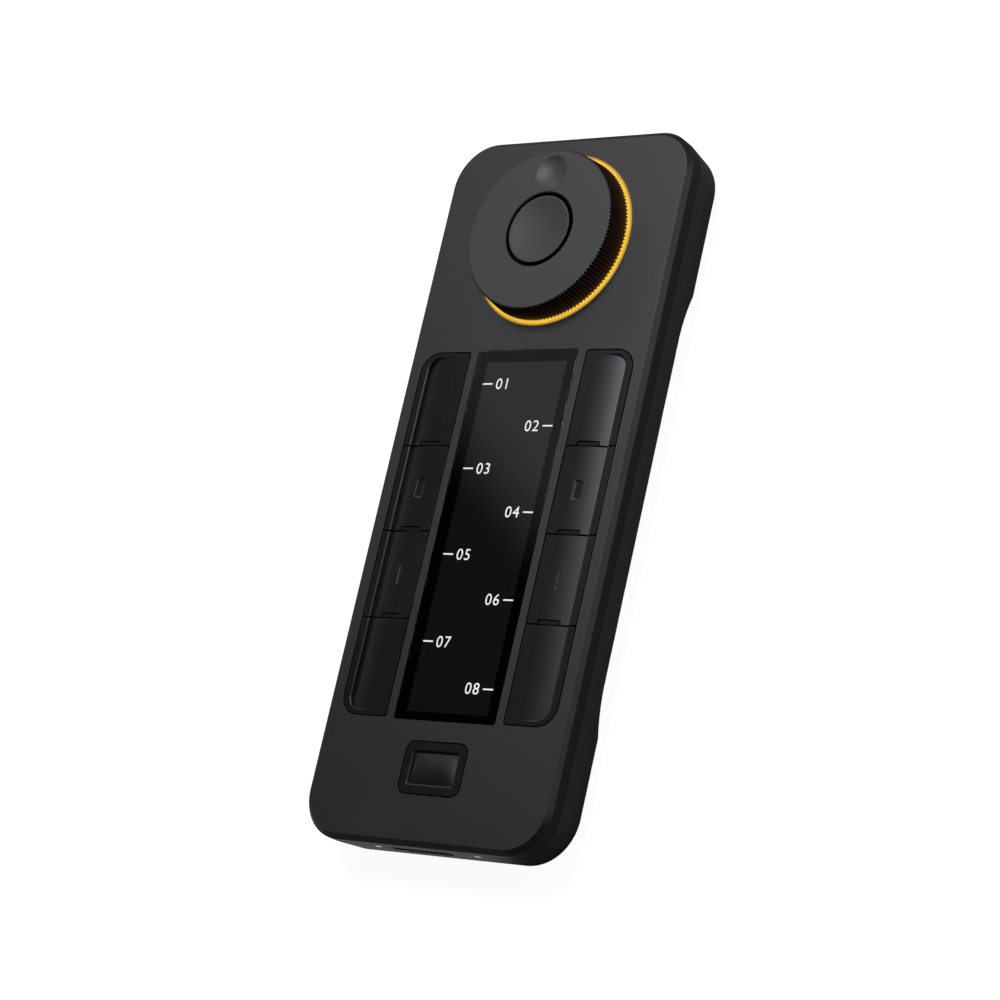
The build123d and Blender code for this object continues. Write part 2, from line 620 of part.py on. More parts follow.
def switch(x, y, side, tall, travel):
    """Board switch, with the hollow that takes the tip of the stem that presses it."""
    hollow = TIP_IN + travel + TIP_CLEAR
    body = block((x - side / 2, y - side / 2, BOARD_TOP), (x + side / 2, y + side / 2, BOARD_TOP + tall))
    body = chamfer(body.edges().filter_by(Axis.Z), side / 12)
    return body - rod(x, y, STEM_R + STEM_CLEAR, BOARD_TOP + tall - hollow, BOARD_TOP + tall)


def key_switches():
    return Compound([switch(x, y, SWITCH_SIDE, SWITCH_TALL, KEY_TRAVEL) for x, y in KEY_SPOTS])


# ---- Set button ----
def set_button():
    cap = slab(SET_WIDTH - 2 * WELL_GAP, SET_LENGTH - 2 * WELL_GAP, SET_CORNER - WELL_GAP,
               KEY_BOTTOM, FACE, y=SET_Y)
    cap += slab(SET_WIDTH + 2 * FLANGE_OUT, SET_LENGTH + 2 * FLANGE_OUT, SET_CORNER + FLANGE_OUT,
                KEY_BOTTOM, FLANGE_TOP, y=SET_Y)
    rim = SET_RIM + SET_ROLL
    width, length = SET_WIDTH - 2 * rim, SET_LENGTH - 2 * rim
    cap -= rolled_pocket(width, length, WELL_GAP, SET_DISH, SET_ROLL, 0, SET_Y)
    base = Pos(0, SET_Y, FACE - SET_DISH) * Rectangle(width, length)
    tip = Pos(0, SET_Y, FACE - SET_DISH + SET_PEAK) * Rectangle(SET_PEAK_WIDTH, SET_PEAK_LENGTH)
    cap += loft([base, tip]) & slab(width, length, WELL_GAP, FACE - SET_DISH, FACE, y=SET_Y)
    hollow_top = FACE - SET_DISH - KEY_SKIN
    cap -= slab(width, length, WELL_GAP, KEY_BOTTOM, hollow_top, y=SET_Y)
    return cap + rod(0, SET_Y, STEM_R, SWITCH_TOP - TIP_IN, hollow_top)


def set_button_switch():
    return switch(0, SET_Y, SWITCH_SIDE, SWITCH_TALL, SET_TRAVEL)


# ---- Dial ----
def knurled_outline(radius):
    """Closed outline of the knurl: one crest and one root per tooth."""
    points = []
    for tooth in range(TEETH):
        for step, r in ((0, radius), (0.5, radius - TOOTH_DEEP)):
            angle = 2 * math.pi * (tooth + step) / TEETH
            points.append((r * math.cos(angle), r * math.sin(angle)))
    return Polygon(*points, align=None)


def dial_wheel():
    base, web = FACE + DIAL_GAP, DIAL_TOP - WEB_THICK
    wheel = loft([Pos(0, 0, base) * knurled_outline(DIAL_BASE_R),
                  Pos(0, 0, DIAL_TOP) * knurled_outline(DIAL_TOP_R)], ruled=True)
    wheel -= tube(0, 0, DIAL_TOP_R - TOOTH_DEEP - WHEEL_WALL, SHOULDER_R, base, web)
    wheel += rod(0, 0, SHOULDER_R, LIGHT_FLOOR + BUSH_FLANGE_THICK + RUNNING, web)
    wheel += rod(0, 0, HUB_R, HUB_BOTTOM, web)
    wheel -= rod(0, 0, HUB_BORE_R, HUB_BOTTOM, LIP_UNDER)
    wheel -= rod(0, 0, LIP_R, LIP_UNDER, DIAL_TOP)
    wheel -= Pos(0, 0, DIAL_TOP - LIP_BEVEL / 2) * Cone(LIP_R, LIP_R + LIP_BEVEL, LIP_BEVEL)
    clip_top = SEAT_BOTTOM - RUNNING
    wheel -= tube(0, 0, HUB_R, HUB_R - CLIP_GROOVE, clip_top - CLIP_THICK, clip_top)
    ball_r = (DIMPLE_R ** 2 + DIMPLE_DEEP ** 2) / (2 * DIMPLE_DEEP)
    dimple_y = DIAL_TOP_R - DIMPLE_BAR - DIMPLE_R
    wheel -= Pos(0, dimple_y, DIAL_TOP - DIMPLE_DEEP + ball_r) * Sphere(ball_r)
    return Pos(0, DIAL_Y, 0) * wheel


def dial_bush():
    flange_top = LIGHT_FLOOR + BUSH_FLANGE_THICK
    bush = tube(0, DIAL_Y, BUSH_OUT_R, BUSH_IN_R, SEAT_BOTTOM, flange_top)
    return bush + tube(0, DIAL_Y, BUSH_OUT_R + BUSH_FLANGE, BUSH_IN_R, LIGHT_FLOOR, flange_top)


def dial_clip():
    """Open spring ring in the groove of the hub, under the bush."""
    top = SEAT_BOTTOM - RUNNING - THREAD_CLEAR
    low = SEAT_BOTTOM - RUNNING - CLIP_THICK + THREAD_CLEAR
    ring = tube(0, 0, HUB_R + CLIP_OUT, HUB_R - CLIP_GROOVE + THREAD_CLEAR, low, top)
    reach = 2 * HUB_R
    spread = reach * math.tan(math.radians(CLIP_MOUTH / 2))
    mouth = Polygon((0, 0), (reach, -spread), (reach, spread), align=None)
    ring -= extrude(Pos(0, 0, low) * mouth, amount=top - low)
    return Pos(0, DIAL_Y, 0) * ring


def code_ring():
    return tube(0, DIAL_Y, HUB_R, HUB_BORE_R, CODE_RING_BOTTOM, HUB_BOTTOM)


def code_sensor():
    y = DIAL_Y - (HUB_R + HUB_BORE_R) / 2
    half = SENSOR_SIDE / 2
    return block((-half, y - half, BOARD_TOP), (half, y + half, BOARD_TOP + SENSOR_THICK))


# ---- Dial button ----
def dial_button():
    collar_top = LIP_UNDER - RUNNING
    cap = rod(0, 0, BUTTON_R, SKIRT_BOTTOM, DIAL_TOP)
    cap += rod(0, 0, COLLAR_R, collar_top - LIP_THICK, collar_top)
    dish_r = BUTTON_R - BUTTON_RIM
    ball_r = (dish_r ** 2 + BUTTON_DISH ** 2) / (2 * BUTTON_DISH)
    cap -= Pos(0, 0, DIAL_TOP - BUTTON_DISH + ball_r) * Sphere(ball_r)
    ceiling = DIAL_TOP - BUTTON_DISH - BUTTON_SKIN
    cap -= rod(0, 0, SKIRT_IN_R, SKIRT_BOTTOM, ceiling)
    cap += rod(0, 0, STEM_R, BOARD_TOP + DIAL_SWITCH_TALL - TIP_IN, ceiling)
    return Pos(0, DIAL_Y, 0) * cap


def dial_button_guide():
    """Fixed post inside the hub; the skirt of the button slides on it."""
    outer = SKIRT_IN_R - LAP_CLEAR
    top = SKIRT_BOTTOM + GUIDE_POST_OVERLAP
    post = tube(0, DIAL_Y, outer, outer - GUIDE_POST_WALL, BOARD_TOP, top)
    foot_top = BOARD_TOP + SENSOR_THICK
    return post + tube(0, DIAL_Y, outer + POST_FLANGE, outer - GUIDE_POST_WALL, BOARD_TOP, foot_top)


def dial_button_switch():
    return switch(0, DIAL_Y, DIAL_SWITCH_SIDE, DIAL_SWITCH_TALL, BUTTON_TRAVEL)


# ---- Light ring ----
def light_ring():
    ring = tube(0, 0, LIGHT_OUT_R, LIGHT_IN_R, LIGHT_FLOOR, FACE)
    flange_top = LIGHT_FLOOR + LIGHT_FLANGE_THICK
    ring += tube(0, 0, LIGHT_OUT_R, DIAL_BASE_R - LIGHT_FLANGE_IN, LIGHT_FLOOR, flange_top)
    leg_bottom = BOARD_TOP + EMITTER_THICK
    for spot in PolarLocations(LEG_CIRCLE_R, LIGHT_LEGS):
        ring += spot * rod(0, 0, LIGHT_LEG_R, leg_bottom, LIGHT_FLOOR)
    return Pos(0, DIAL_Y, 0) * ring


def ring_lights():
    half = EMITTER_SIDE / 2
    chip = block((-half, -half, BOARD_TOP), (half, half, BOARD_TOP + EMITTER_THICK))
    return Compound([Pos(0, DIAL_Y, 0) * spot * chip for spot in PolarLocations(LEG_CIRCLE_R, LIGHT_LEGS)])


# ---- Board ----
def main_board():
    board = slab(2 * BOARD_X, 2 * BOARD_Y, CORNER - BOARD_END_INSET, BOARD_BOTTOM, BOARD_TOP)
    for x, y in SCREW_SPOTS:
        board -= rod(x, y, SCREW_R + BOSS_WALL + AIR, BOARD_BOTTOM, BOARD_TOP)
    for x, y in BOARD_SCREW_SPOTS:
        board -= rod(x, y, BOARD_SCREW_R + LAP_CLEAR, BOARD_BOTTOM, BOARD_TOP)
    return board


def main_chip():
    half = CHIP_SIDE / 2
    return block((-half, GLASS_Y - half, BOARD_TOP), (half, GLASS_Y + half, BOARD_TOP + CHIP_THICK))


def radio_shield():
    """Thin metal lid over the radio, open underneath."""
    y = GLASS_Y - BATTERY_LENGTH / 3
    lid = slab(SHIELD_WIDTH, SHIELD_LENGTH, SHIELD_SKIN * 2, BOARD_TOP, BOARD_TOP + SHIELD_TALL, y=y)
    return lid - slab(SHIELD_WIDTH - 2 * SHIELD_SKIN, SHIELD_LENGTH - 2 * SHIELD_SKIN, SHIELD_SKIN,
                      BOARD_TOP, BOARD_TOP + SHIELD_TALL - SHIELD_SKIN, y=y)


def board_screws():
    return Compound([screw(x, y, BOARD_TOP, BOARD_THICK + BOARD_SCREW_GRIP, BOARD_SCREW_R,
                           BOARD_SCREW_HEAD_R, BOARD_SCREW_HEAD, True) for x, y in BOARD_SCREW_SPOTS])


def case_screws():
    grip = PLATE_UNDER - FLOOR - BLOCK_FLOOR_TOP - SEAM
    return Compound([screw(x, y, BLOCK_FLOOR_TOP, grip, SCREW_R, SCREW_HEAD_R, SCREW_HEAD, False)
                     for x, y in SCREW_SPOTS])


# ---- Battery ----
def battery():
    pack = slab(BATTERY_WIDTH, BATTERY_LENGTH, BATTERY_ROUND, FLOOR_TOP, BATTERY_TOP, y=GLASS_Y)
    return fillet(pack.edges().group_by(Axis.Z)[-1], BATTERY_ROUND / 3)


def battery_leads():
    y = GLASS_Y + BATTERY_LENGTH / 2
    level = BATTERY_TOP - BATTERY_ROUND / 3 - LEAD_R
    lead = Rot(-90, 0, 0) * rod(0, 0, LEAD_R, 0, LEAD_LENGTH)
    return Compound([Pos(side * LEAD_PITCH / 2, y, level) * lead for side in (-1, 1)])


def battery_plug():
    half = PLUG_WIDTH / 2
    y = GLASS_Y + BATTERY_LENGTH / 2 + LEAD_LENGTH
    return block((-half, y, BOARD_BOTTOM - PLUG_TALL), (half, y + PLUG_LENGTH, BOARD_BOTTOM))


# ---- Power slider and end lights ----
INNER_END = -END + WALL + draft_at(SLOT_BOTTOM) + LAP_CLEAR
PLATE_BACK = INNER_END + SLIDER_PLATE
PEG_TOP = BOARD_TOP + SWITCH_BODY_TALL - SLIDER_PLATE


def power_slider():
    """Ribbed finger piece in the slot, a plate behind the wall and a peg into the switch."""
    half = SLIDER_LENGTH / 2
    low, high = SLOT_BOTTOM + SLIDER_CLEAR, CASE_TOP - LAP_CLEAR - SLIDER_CLEAR
    front = -END + draft_at((low + high) / 2) - SLIDER_PROUD
    grip = block((-half, front, low), (half, INNER_END, high))
    pitch = SLIDER_LENGTH / SLIDER_RIBS
    for gap in range(1, SLIDER_RIBS):
        left = -half + gap * pitch - SLIDER_GROOVE / 2
        grip -= block((left, front, low), (left + SLIDER_GROOVE, front + SLIDER_GROOVE_DEEP, high))
    wide = half + SLIDER_PLATE_OUT
    plate = block((-wide, INNER_END, low - SLIDER_PLATE_UP), (wide, PLATE_BACK, high + SLIDER_PLATE_UP))
    peg_half = PEG_WIDTH / 2
    peg_low = BOARD_TOP + SLIDER_CLEAR
    peg = block((-peg_half, PLATE_BACK, peg_low), (peg_half, PLATE_BACK + PEG_LENGTH, PEG_TOP))
    return grip + plate + peg


def power_switch():
    front = PLATE_BACK + SLIDER_CLEAR
    half = SWITCH_BODY_WIDTH / 2
    body = block((-half, front, BOARD_TOP), (half, front + SWITCH_BODY_LENGTH, BOARD_TOP + SWITCH_BODY_TALL))
    left, right = -PEG_WIDTH / 2 - SLIDER_TRAVEL - SLIDER_CLEAR, PEG_WIDTH / 2 + SLIDER_CLEAR
    return body - block((left, front, BOARD_TOP), (right, front + PEG_LENGTH, PEG_TOP + SLIDER_CLEAR))


def status_light(side):
    """Light pipe through the end wall, with a foot behind it."""
    x = side * STATUS_X
    low, high = CASE_TOP - STATUS_TALL - LAP_CLEAR, CASE_TOP - LAP_CLEAR
    front = -END + draft_at(high) + LAP_CLEAR / 2
    return block((x - STATUS_WIDTH / 2, front, low), (x + STATUS_WIDTH / 2, -BOARD_Y + LAP_CLEAR, high))


def status_emitters():
    start, top = -BOARD_Y + LAP_CLEAR, CASE_TOP - LAP_CLEAR
    return Compound([block((x - STATUS_LED, start, BOARD_TOP), (x + STATUS_LED, start + STATUS_LED, top))
                     for x in (-STATUS_X, STATUS_X)])


# ---- Charging socket ----
USB_FRONT = END - draft_at(USB_Z) - USB_SET_BACK - DRAFT / 4


def usb_tube(grow, length):
    """Rounded flat tube outline of the socket, set in by grow."""
    corner = USB_TALL / 2 - grow - THREAD_CLEAR
    plan = RectangleRounded(USB_WIDTH - 2 * grow, USB_TALL - 2 * grow, corner)
    return extrude(end_plane(USB_FRONT - USB_DEPTH) * plan, amount=length)


def usb_socket():
    return usb_tube(0, USB_DEPTH) - usb_tube(USB_SKIN, USB_DEPTH)


def usb_tongue():
    """Insulating block at the back of the socket, with the contact tongue standing out of it."""
    back = usb_tube(USB_SKIN, USB_BACK)
    blade = Rectangle(USB_TONGUE_WIDTH, USB_TONGUE_THICK)
    return back + extrude(end_plane(USB_FRONT - USB_DEPTH) * blade, amount=USB_DEPTH - USB_TONGUE_SHORT)


# ---- Write every piece ----
PIECES = {
    "top_shell": top_shell(),
    "bottom_case": bottom_case(),
    "foot_front": feet(-1),
    "foot_rear": feet(1),
    "display_glass": display_glass(),
    "display_panel": display_panel(),
    "display_bracket": display_bracket(),
    "display_flex": display_flex(),
    "display_plug": display_plug(),
    "key_guide_left": key_guide(-1),
    "key_guide_right": key_guide(1),
    "key_switches": key_switches(),
    "set_button": set_button(),
    "set_button_switch": set_button_switch(),
    "dial_wheel": dial_wheel(),
    "dial_bush": dial_bush(),
    "dial_clip": dial_clip(),
    "code_ring": code_ring(),
    "code_sensor": code_sensor(),
    "dial_button": dial_button(),
    "dial_button_guide": dial_button_guide(),
    "dial_button_switch": dial_button_switch(),
    "light_ring": light_ring(),
    "ring_lights": ring_lights(),
    "main_board": main_board(),
    "main_chip": main_chip(),
    "radio_shield": radio_shield(),
    "board_screws": board_screws(),
    "case_screws": case_screws(),
    "battery": battery(),
    "battery_leads": battery_leads(),
    "battery_plug": battery_plug(),
    "power_slider": power_slider(),
    "power_switch": power_switch(),
    "status_light_left": status_light(-1),
    "status_light_right": status_light(1),
    "status_emitters": status_emitters(),
    "usb_socket": usb_socket(),
    "usb_tongue": usb_tongue(),
}
for name, side in (("left", -1), ("right", 1)):
    for row in range(4):
        PIECES[f"key_{name}_{row + 1}"] = key(side, row)

os.makedirs("parts", exist_ok=True)
for node, shape in PIECES.items():
    export_step(shape, f"parts/{node}.step")
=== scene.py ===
import bmesh
import bpy
import json
import math
from mathutils import Matrix, Vector


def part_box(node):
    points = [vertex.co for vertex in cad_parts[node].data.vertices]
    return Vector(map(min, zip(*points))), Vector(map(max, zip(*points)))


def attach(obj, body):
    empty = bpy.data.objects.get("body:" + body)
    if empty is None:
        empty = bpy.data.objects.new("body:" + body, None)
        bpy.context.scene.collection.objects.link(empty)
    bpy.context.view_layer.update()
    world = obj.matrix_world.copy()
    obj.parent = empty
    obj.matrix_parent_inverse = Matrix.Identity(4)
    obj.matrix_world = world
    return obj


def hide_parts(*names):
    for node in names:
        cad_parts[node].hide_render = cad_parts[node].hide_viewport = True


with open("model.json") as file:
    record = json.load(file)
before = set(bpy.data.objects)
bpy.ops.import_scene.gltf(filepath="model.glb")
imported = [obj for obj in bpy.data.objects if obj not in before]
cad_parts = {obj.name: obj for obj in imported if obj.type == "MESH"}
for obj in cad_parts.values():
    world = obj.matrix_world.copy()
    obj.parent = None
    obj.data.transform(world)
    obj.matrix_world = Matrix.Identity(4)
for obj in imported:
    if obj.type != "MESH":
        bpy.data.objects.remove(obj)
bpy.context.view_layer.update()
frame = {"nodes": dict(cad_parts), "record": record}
nodes = frame["nodes"]
record = frame["record"]
slot_of = {part["node"]: part["material_slot"] for part in record["subparts"]}
body_of = {node: body for body, held in record["behaviour"]["bodies"].items() for node in held}
for piece in nodes.values():
    piece.data.materials.clear()
for plain in list(bpy.data.materials):
    bpy.data.materials.remove(plain)


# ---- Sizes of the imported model, in metres ----
MM = 0.001
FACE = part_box("top_shell")[1].z
CASE_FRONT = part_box("bottom_case")[0].y
CASE_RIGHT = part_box("bottom_case")[1].x
WHEEL_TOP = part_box("dial_wheel")[1].z
BUTTON_LOW, BUTTON_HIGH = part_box("dial_button")
SLIDER_LOW, SLIDER_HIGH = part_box("power_slider")
GLASS_LOW, GLASS_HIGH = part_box("display_glass")
PANEL_LOW, PANEL_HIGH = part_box("display_panel")
PANEL_MIDDLE_Y = (PANEL_LOW.y + PANEL_HIGH.y) / 2
RING_LOW, RING_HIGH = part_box("light_ring")
RING_CENTRE = (RING_LOW + RING_HIGH) / 2
RING_OUT = (RING_HIGH.x - RING_LOW.x) / 2
RING_WIDTH = 0.67 * MM


# ---- Shader building blocks ----
NODE_STEP = 180             # room for one node in the editor
NOISE_LOW = 0.3             # nearly all of a noise lies between this
NOISE_MIDDLE = 0.5
NOISE_HIGH = 0.7            # and this


class Tree:
    """Short way to add and join shader nodes in one material or group."""

    def __init__(self, tree):
        self.tree = tree
        self.column = 0

    def add(self, kind, inputs=None, **settings):
        made = self.tree.nodes.new(kind)
        made.location = (self.column, 0)
        self.column += NODE_STEP
        for key, value in settings.items():
            setattr(made, key, value)
        for key, value in (inputs or {}).items():
            self.feed(made.inputs[key], value)
        return made

    def feed(self, socket, value):
        """Join a socket to another node's, or set its number or colour."""
        if isinstance(value, bpy.types.NodeSocket):
            self.tree.links.new(value, socket)
        else:
            socket.default_value = value

    def math(self, operation, first, second=0.0, third=0.0):
        made = self.add("ShaderNodeMath", operation=operation)
        for socket, value in zip(made.inputs, (first, second, third)):
            self.feed(socket, value)
        return made.outputs[0]

    def vector(self, operation, first, second):
        """Two vectors into one; scaling takes a number as its second value, and a dot product gives one."""
        made = self.add("ShaderNodeVectorMath", operation=operation)
        self.feed(made.inputs[0], first)
        self.feed(made.inputs["Scale" if operation == "SCALE" else 1], second)
        return made.outputs["Value" if operation == "DOT_PRODUCT" else "Vector"]

    def length(self, vector):
        made = self.add("ShaderNodeVectorMath", {0: vector}, operation="LENGTH")
        return made.outputs["Value"]

    def ramp(self, value, low, high, start=0.0, stop=1.0, kind="LINEAR"):
        """Carry a value that runs from low to high over to one that runs from start to stop."""
        made = self.add("ShaderNodeMapRange", interpolation_type=kind)
        for key, item in (("Value", value), ("From Min", low), ("From Max", high),
                          ("To Min", start), ("To Max", stop)):
            self.feed(made.inputs[key], item)
        return made.outputs["Result"]

    def between(self, amount, least, most):
        """Carry an amount from 0 to 1 over to a span of numbers."""
        return self.ramp(amount, 0.0, 1.0, least, most)

    def swing(self, noise, least, most):
        """A number that swings over a whole span as a noise goes up and down."""
        return self.ramp(noise, NOISE_LOW, NOISE_HIGH, least, most)

    def blend(self, amount, first, second):
        made = self.add("ShaderNodeMix", data_type="RGBA")
        self.feed(made.inputs["Factor"], amount)
        self.feed(made.inputs["A"], first)
        self.feed(made.inputs["B"], second)
        return made.outputs["Result"]

    def noise(self, place, scale, detail=2.0, roughness=0.5):
        made = self.add("ShaderNodeTexNoise")
        for key, item in (("Vector", place), ("Scale", scale), ("Detail", detail),
                          ("Roughness", roughness)):
            self.feed(made.inputs[key], item)
        return made.outputs["Fac"]

    def place(self):
        return self.add("ShaderNodeTexCoord").outputs["Object"]

    def place_mm(self):
        return self.vector("SCALE", self.place(), 1 / MM)

    def place_parts(self):
        """The place as three numbers, by the names X, Y and Z."""
        return self.add("ShaderNodeSeparateXYZ", {"Vector": self.place()}).outputs

    def from_ring(self):
        """The place, from the middle of the light ring."""
        return self.vector("SUBTRACT", self.place(), tuple(RING_CENTRE))

    def radius(self, offset):
        """How far out an offset lies, seen from above."""
        return self.length(self.vector("MULTIPLY", offset, (1.0, 1.0, 0.0)))


def new_group(name, inputs, outputs):
    """Empty shader group with named sockets; returns its tree and its two end nodes."""
    group = bpy.data.node_groups.new(name, "ShaderNodeTree")
    kinds = {"value": "NodeSocketFloat", "colour": "NodeSocketColor"}
    for label, kind, start in inputs:
        socket = group.interface.new_socket(name=label, in_out="INPUT", socket_type=kinds[kind])
        socket.default_value = start
    for label, kind in outputs:
        group.interface.new_socket(name=label, in_out="OUTPUT", socket_type=kinds[kind])
    tree = Tree(group)
    return tree, tree.add("NodeGroupInput").outputs, tree.add("NodeGroupOutput").inputs


def parts_of(material):
    """A material's tree and its shader."""
    return Tree(material.node_tree), material.node_tree.nodes["Principled BSDF"]


def new_material(name):
    made = bpy.data.materials.new(name)
    made.use_nodes = True
    return made, *parts_of(made)


def glowing(tree, shader, colour):
    """Let a material give off the light that its nodes work out."""
    tree.feed(shader.inputs["Emission Color"], colour)
    shader.inputs["Emission Strength"].default_value = 1.0


# ---- Finishes ----
WHITE = (1.0, 1.0, 1.0)
GREEN = (0.3, 1.0, 0.55)
BLUE = (0.28, 0.6, 1.0)
STATUS_LIGHTS = [("status_light_left", GREEN), ("status_light_right", BLUE)]
# Painted glow round the status lights: where it starts to fade, where it ends, and how strong it is.
PAINTED_LAMP_GLOW_FROM = 0.4 * MM
PAINTED_LAMP_GLOW_TO = 1.3 * MM
PAINTED_LAMP_GLOW_SHARE = 0.3
RING_INNER = (0.92, 0.58, 0.07, 1.0)
RING_OUTER = (0.42, 0.23, 0.01, 1.0)
# Colour and reach of the painted glow on the shell round the light ring.
RING_PAINTED_GLOW = (0.06, 0.03, 0.0)
RING_PAINTED_GLOW_WIDE = 0.6 * MM
GUIDE_BODY = 0.1                # share of its light that a light pipe's own colour has
# Colour of the knurl by the light ring, with the ring's amber light painted in, and its colour up at the
# top.
KNURL_RING_LIT = (0.17, 0.078, 0.06, 1)
KNURL_HIGH = (0.05, 0.034, 0.034, 1)
# Painted reflection of a soft box in the display glass: where its middle lies, how it leans and how soft
# its edge is.
REFLECTION_MIDDLE = 11.9 * MM        # from the middle of the display towards the dial
REFLECTION_LEAN = 0.85
REFLECTION_SOFT = 14.5 * MM
PANEL_TINT = (1.0, 1.0, 1.09)
# Share of the painted reflection on the lit panel, the panel's own dim light, and the tint of the painted
# reflection on the black print.
PANEL_REFLECTION = 0.0295
PANEL_DARK = 0.0055
PRINT_REFLECTION_TINT = (0.0165, 0.0165, 0.018)


def moulded_surface():
    """Fine grain, slow drift of tone and gloss, and lighter rubbed edges."""
    fleck_share = 0.35          # how far the grain lightens and darkens the tone
    edge_starts, edge_full = 0.985, 0.9     # how far a rounded edge turns from its face
    patch_low, patch_high = 0.42, 0.62      # drift from the least rubbed to the most rubbed patch
    worn_least = 0.4            # share of the rubbing that every edge has
    worn_gloss = 0.06
    tree, given, wanted = new_group(
        "moulded_surface",
        [("Colour", "colour", (0.03, 0.03, 0.03, 1)), ("Edge Colour", "colour", (0.06, 0.06, 0.06, 1)),
         ("Grain Size", "value", 0.15), ("Drift Size", "value", 18.0), ("Drift", "value", 0.12),
         ("Roughness", "value", 0.5), ("Roughness Drift", "value", 0.06), ("Edge Width", "value", 0.25)],
        [("Colour", "colour"), ("Roughness", "value"), ("Grain", "value")])
    place = tree.place_mm()
    grain = tree.noise(place, tree.math("DIVIDE", 1.0, given["Grain Size"]), detail=3.0, roughness=0.6)
    drift = tree.noise(place, tree.math("DIVIDE", 1.0, given["Drift Size"]), detail=3.0, roughness=0.55)
    signed = tree.math("MULTIPLY", tree.math("SUBTRACT", drift, NOISE_MIDDLE), 2.0)
    tone = tree.math("MULTIPLY_ADD", signed, given["Drift"], 1.0)
    fleck = tree.math("MULTIPLY_ADD", tree.math("SUBTRACT", grain, NOISE_MIDDLE), fleck_share, tone)
    colour = tree.vector("SCALE", given["Colour"], fleck)
    reach = tree.math("MULTIPLY", given["Edge Width"], MM)
    rounded = tree.add("ShaderNodeBevel", {"Radius": reach}, samples=4).outputs["Normal"]
    facing = tree.add("ShaderNodeNewGeometry").outputs["Normal"]
    match = tree.vector("DOT_PRODUCT", rounded, facing)
    edge = tree.ramp(match, edge_starts, edge_full, kind="SMOOTHSTEP")
    patchy = tree.ramp(drift, patch_low, patch_high)
    worn = tree.math("MULTIPLY_ADD", patchy, 1.0 - worn_least, worn_least)
    rubbed = tree.math("MULTIPLY", edge, worn)
    tree.feed(wanted["Colour"], tree.blend(rubbed, colour, given["Edge Colour"]))
    rough = tree.math("MULTIPLY_ADD", signed, given["Roughness Drift"], given["Roughness"])
    smoother = tree.math("MULTIPLY", rubbed, worn_gloss)
    tree.feed(wanted["Roughness"], tree.math("SUBTRACT", rough, smoother))
    tree.feed(wanted["Grain"], grain)
    return tree.tree


def painted_glass_reflection():
    """Painted reflection of a soft box in the display glass, lying aslant from its dial end down to its
    middle.
    """
    tree, _, wanted = new_group("painted_glass_reflection", [], [("Level", "value")])
    place = tree.place_parts()
    along = tree.math("SUBTRACT", place["Y"], PANEL_MIDDLE_Y + REFLECTION_MIDDLE)
    slant = tree.math("MULTIPLY_ADD", place["X"], REFLECTION_LEAN, along)
    tree.feed(wanted["Level"], tree.ramp(slant, -REFLECTION_SOFT, REFLECTION_SOFT, kind="SMOOTHSTEP"))
    return tree.tree


SURFACE = moulded_surface()
PAINTED_REFLECTION_GROUP = painted_glass_reflection()


def moulded(name, colour, roughness, edge=None, grain=0.15, grain_deep=0.006, specular=0.5):
    """Moulded or painted plastic with grain, drift of tone and gloss, and rubbed edges; grain in mm."""
    made, tree, shader = new_material(name)
    edge = edge or tuple(2.0 * part for part in colour)
    surface = tree.add("ShaderNodeGroup", node_tree=SURFACE)
    for key, value in (("Colour", (*colour, 1)), ("Edge Colour", (*edge, 1)), ("Grain Size", grain),
                       ("Roughness", roughness)):
        surface.inputs[key].default_value = value
    tree.feed(shader.inputs["Base Color"], surface.outputs["Colour"])
    tree.feed(shader.inputs["Roughness"], surface.outputs["Roughness"])
    bump = tree.add("ShaderNodeBump", {"Height": surface.outputs["Grain"], "Distance": grain_deep * MM,
                                       "Strength": 1.0})
    tree.feed(shader.inputs["Normal"], bump.outputs["Normal"])
    shader.inputs["Specular IOR Level"].default_value = specular
    return made


def painted_ring_glow(material):
    """Painted glow: the paint beside the light ring gives off amber light that fades outward."""
    tree, shader = parts_of(material)
    radius = tree.radius(tree.from_ring())
    fade = tree.ramp(radius, RING_OUT, RING_OUT + RING_PAINTED_GLOW_WIDE, 1.0, 0.0)
    glow = tree.vector("SCALE", RING_PAINTED_GLOW, tree.math("MULTIPLY", fade, fade))
    glowing(tree, shader, glow)


def painted_lamp_glow(material):
    """Painted glow round each status light, given off by the paint of the wall it sits in."""
    tree, shader = parts_of(material)
    total = (0.0, 0.0, 0.0)
    for node, colour in STATUS_LIGHTS:
        low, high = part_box(node)
        lens = ((low.x + high.x) / 2, low.y, (low.z + high.z) / 2)
        away = tree.length(tree.vector("SUBTRACT", tree.place(), lens))
        fade = tree.ramp(away, PAINTED_LAMP_GLOW_FROM, PAINTED_LAMP_GLOW_TO, 1.0, 0.0)
        level = tree.math("MULTIPLY", tree.math("MULTIPLY", fade, fade), PAINTED_LAMP_GLOW_SHARE)
        total = tree.vector("ADD", total, tree.vector("SCALE", colour, level))
    glowing(tree, shader, total)


def lit_guide(name, colour):
    """Milky light pipe with the light in it, a little uneven along its length."""
    made, tree, shader = new_material(name)
    uneven = tree.noise(tree.place_mm(), scale=0.35)
    glowing(tree, shader, tree.vector("SCALE", colour, tree.swing(uneven, 0.9, 1.0)))
    shader.inputs["Base Color"].default_value = (*[part * GUIDE_BODY for part in colour], 1)
    tree.feed(shader.inputs["Roughness"], tree.between(uneven, 0.3, 0.45))
    return made


def lit_ring(name):
    """Milky light ring: yellow near the dial, deeper amber at its outer edge, a little uneven."""
    made, tree, shader = new_material(name)
    place = tree.from_ring()
    out = tree.ramp(tree.radius(place), RING_OUT - RING_WIDTH, RING_OUT)
    uneven = tree.noise(tree.vector("SCALE", place, 1 / MM), scale=0.2)
    amber = tree.blend(out, RING_INNER, RING_OUTER)
    glowing(tree, shader, tree.vector("SCALE", amber, tree.swing(uneven, 0.92, 1.05)))
    shader.inputs["Base Color"].default_value = (0.08, 0.04, 0.005, 1)
    tree.feed(shader.inputs["Roughness"], tree.between(uneven, 0.3, 0.45))
    return made


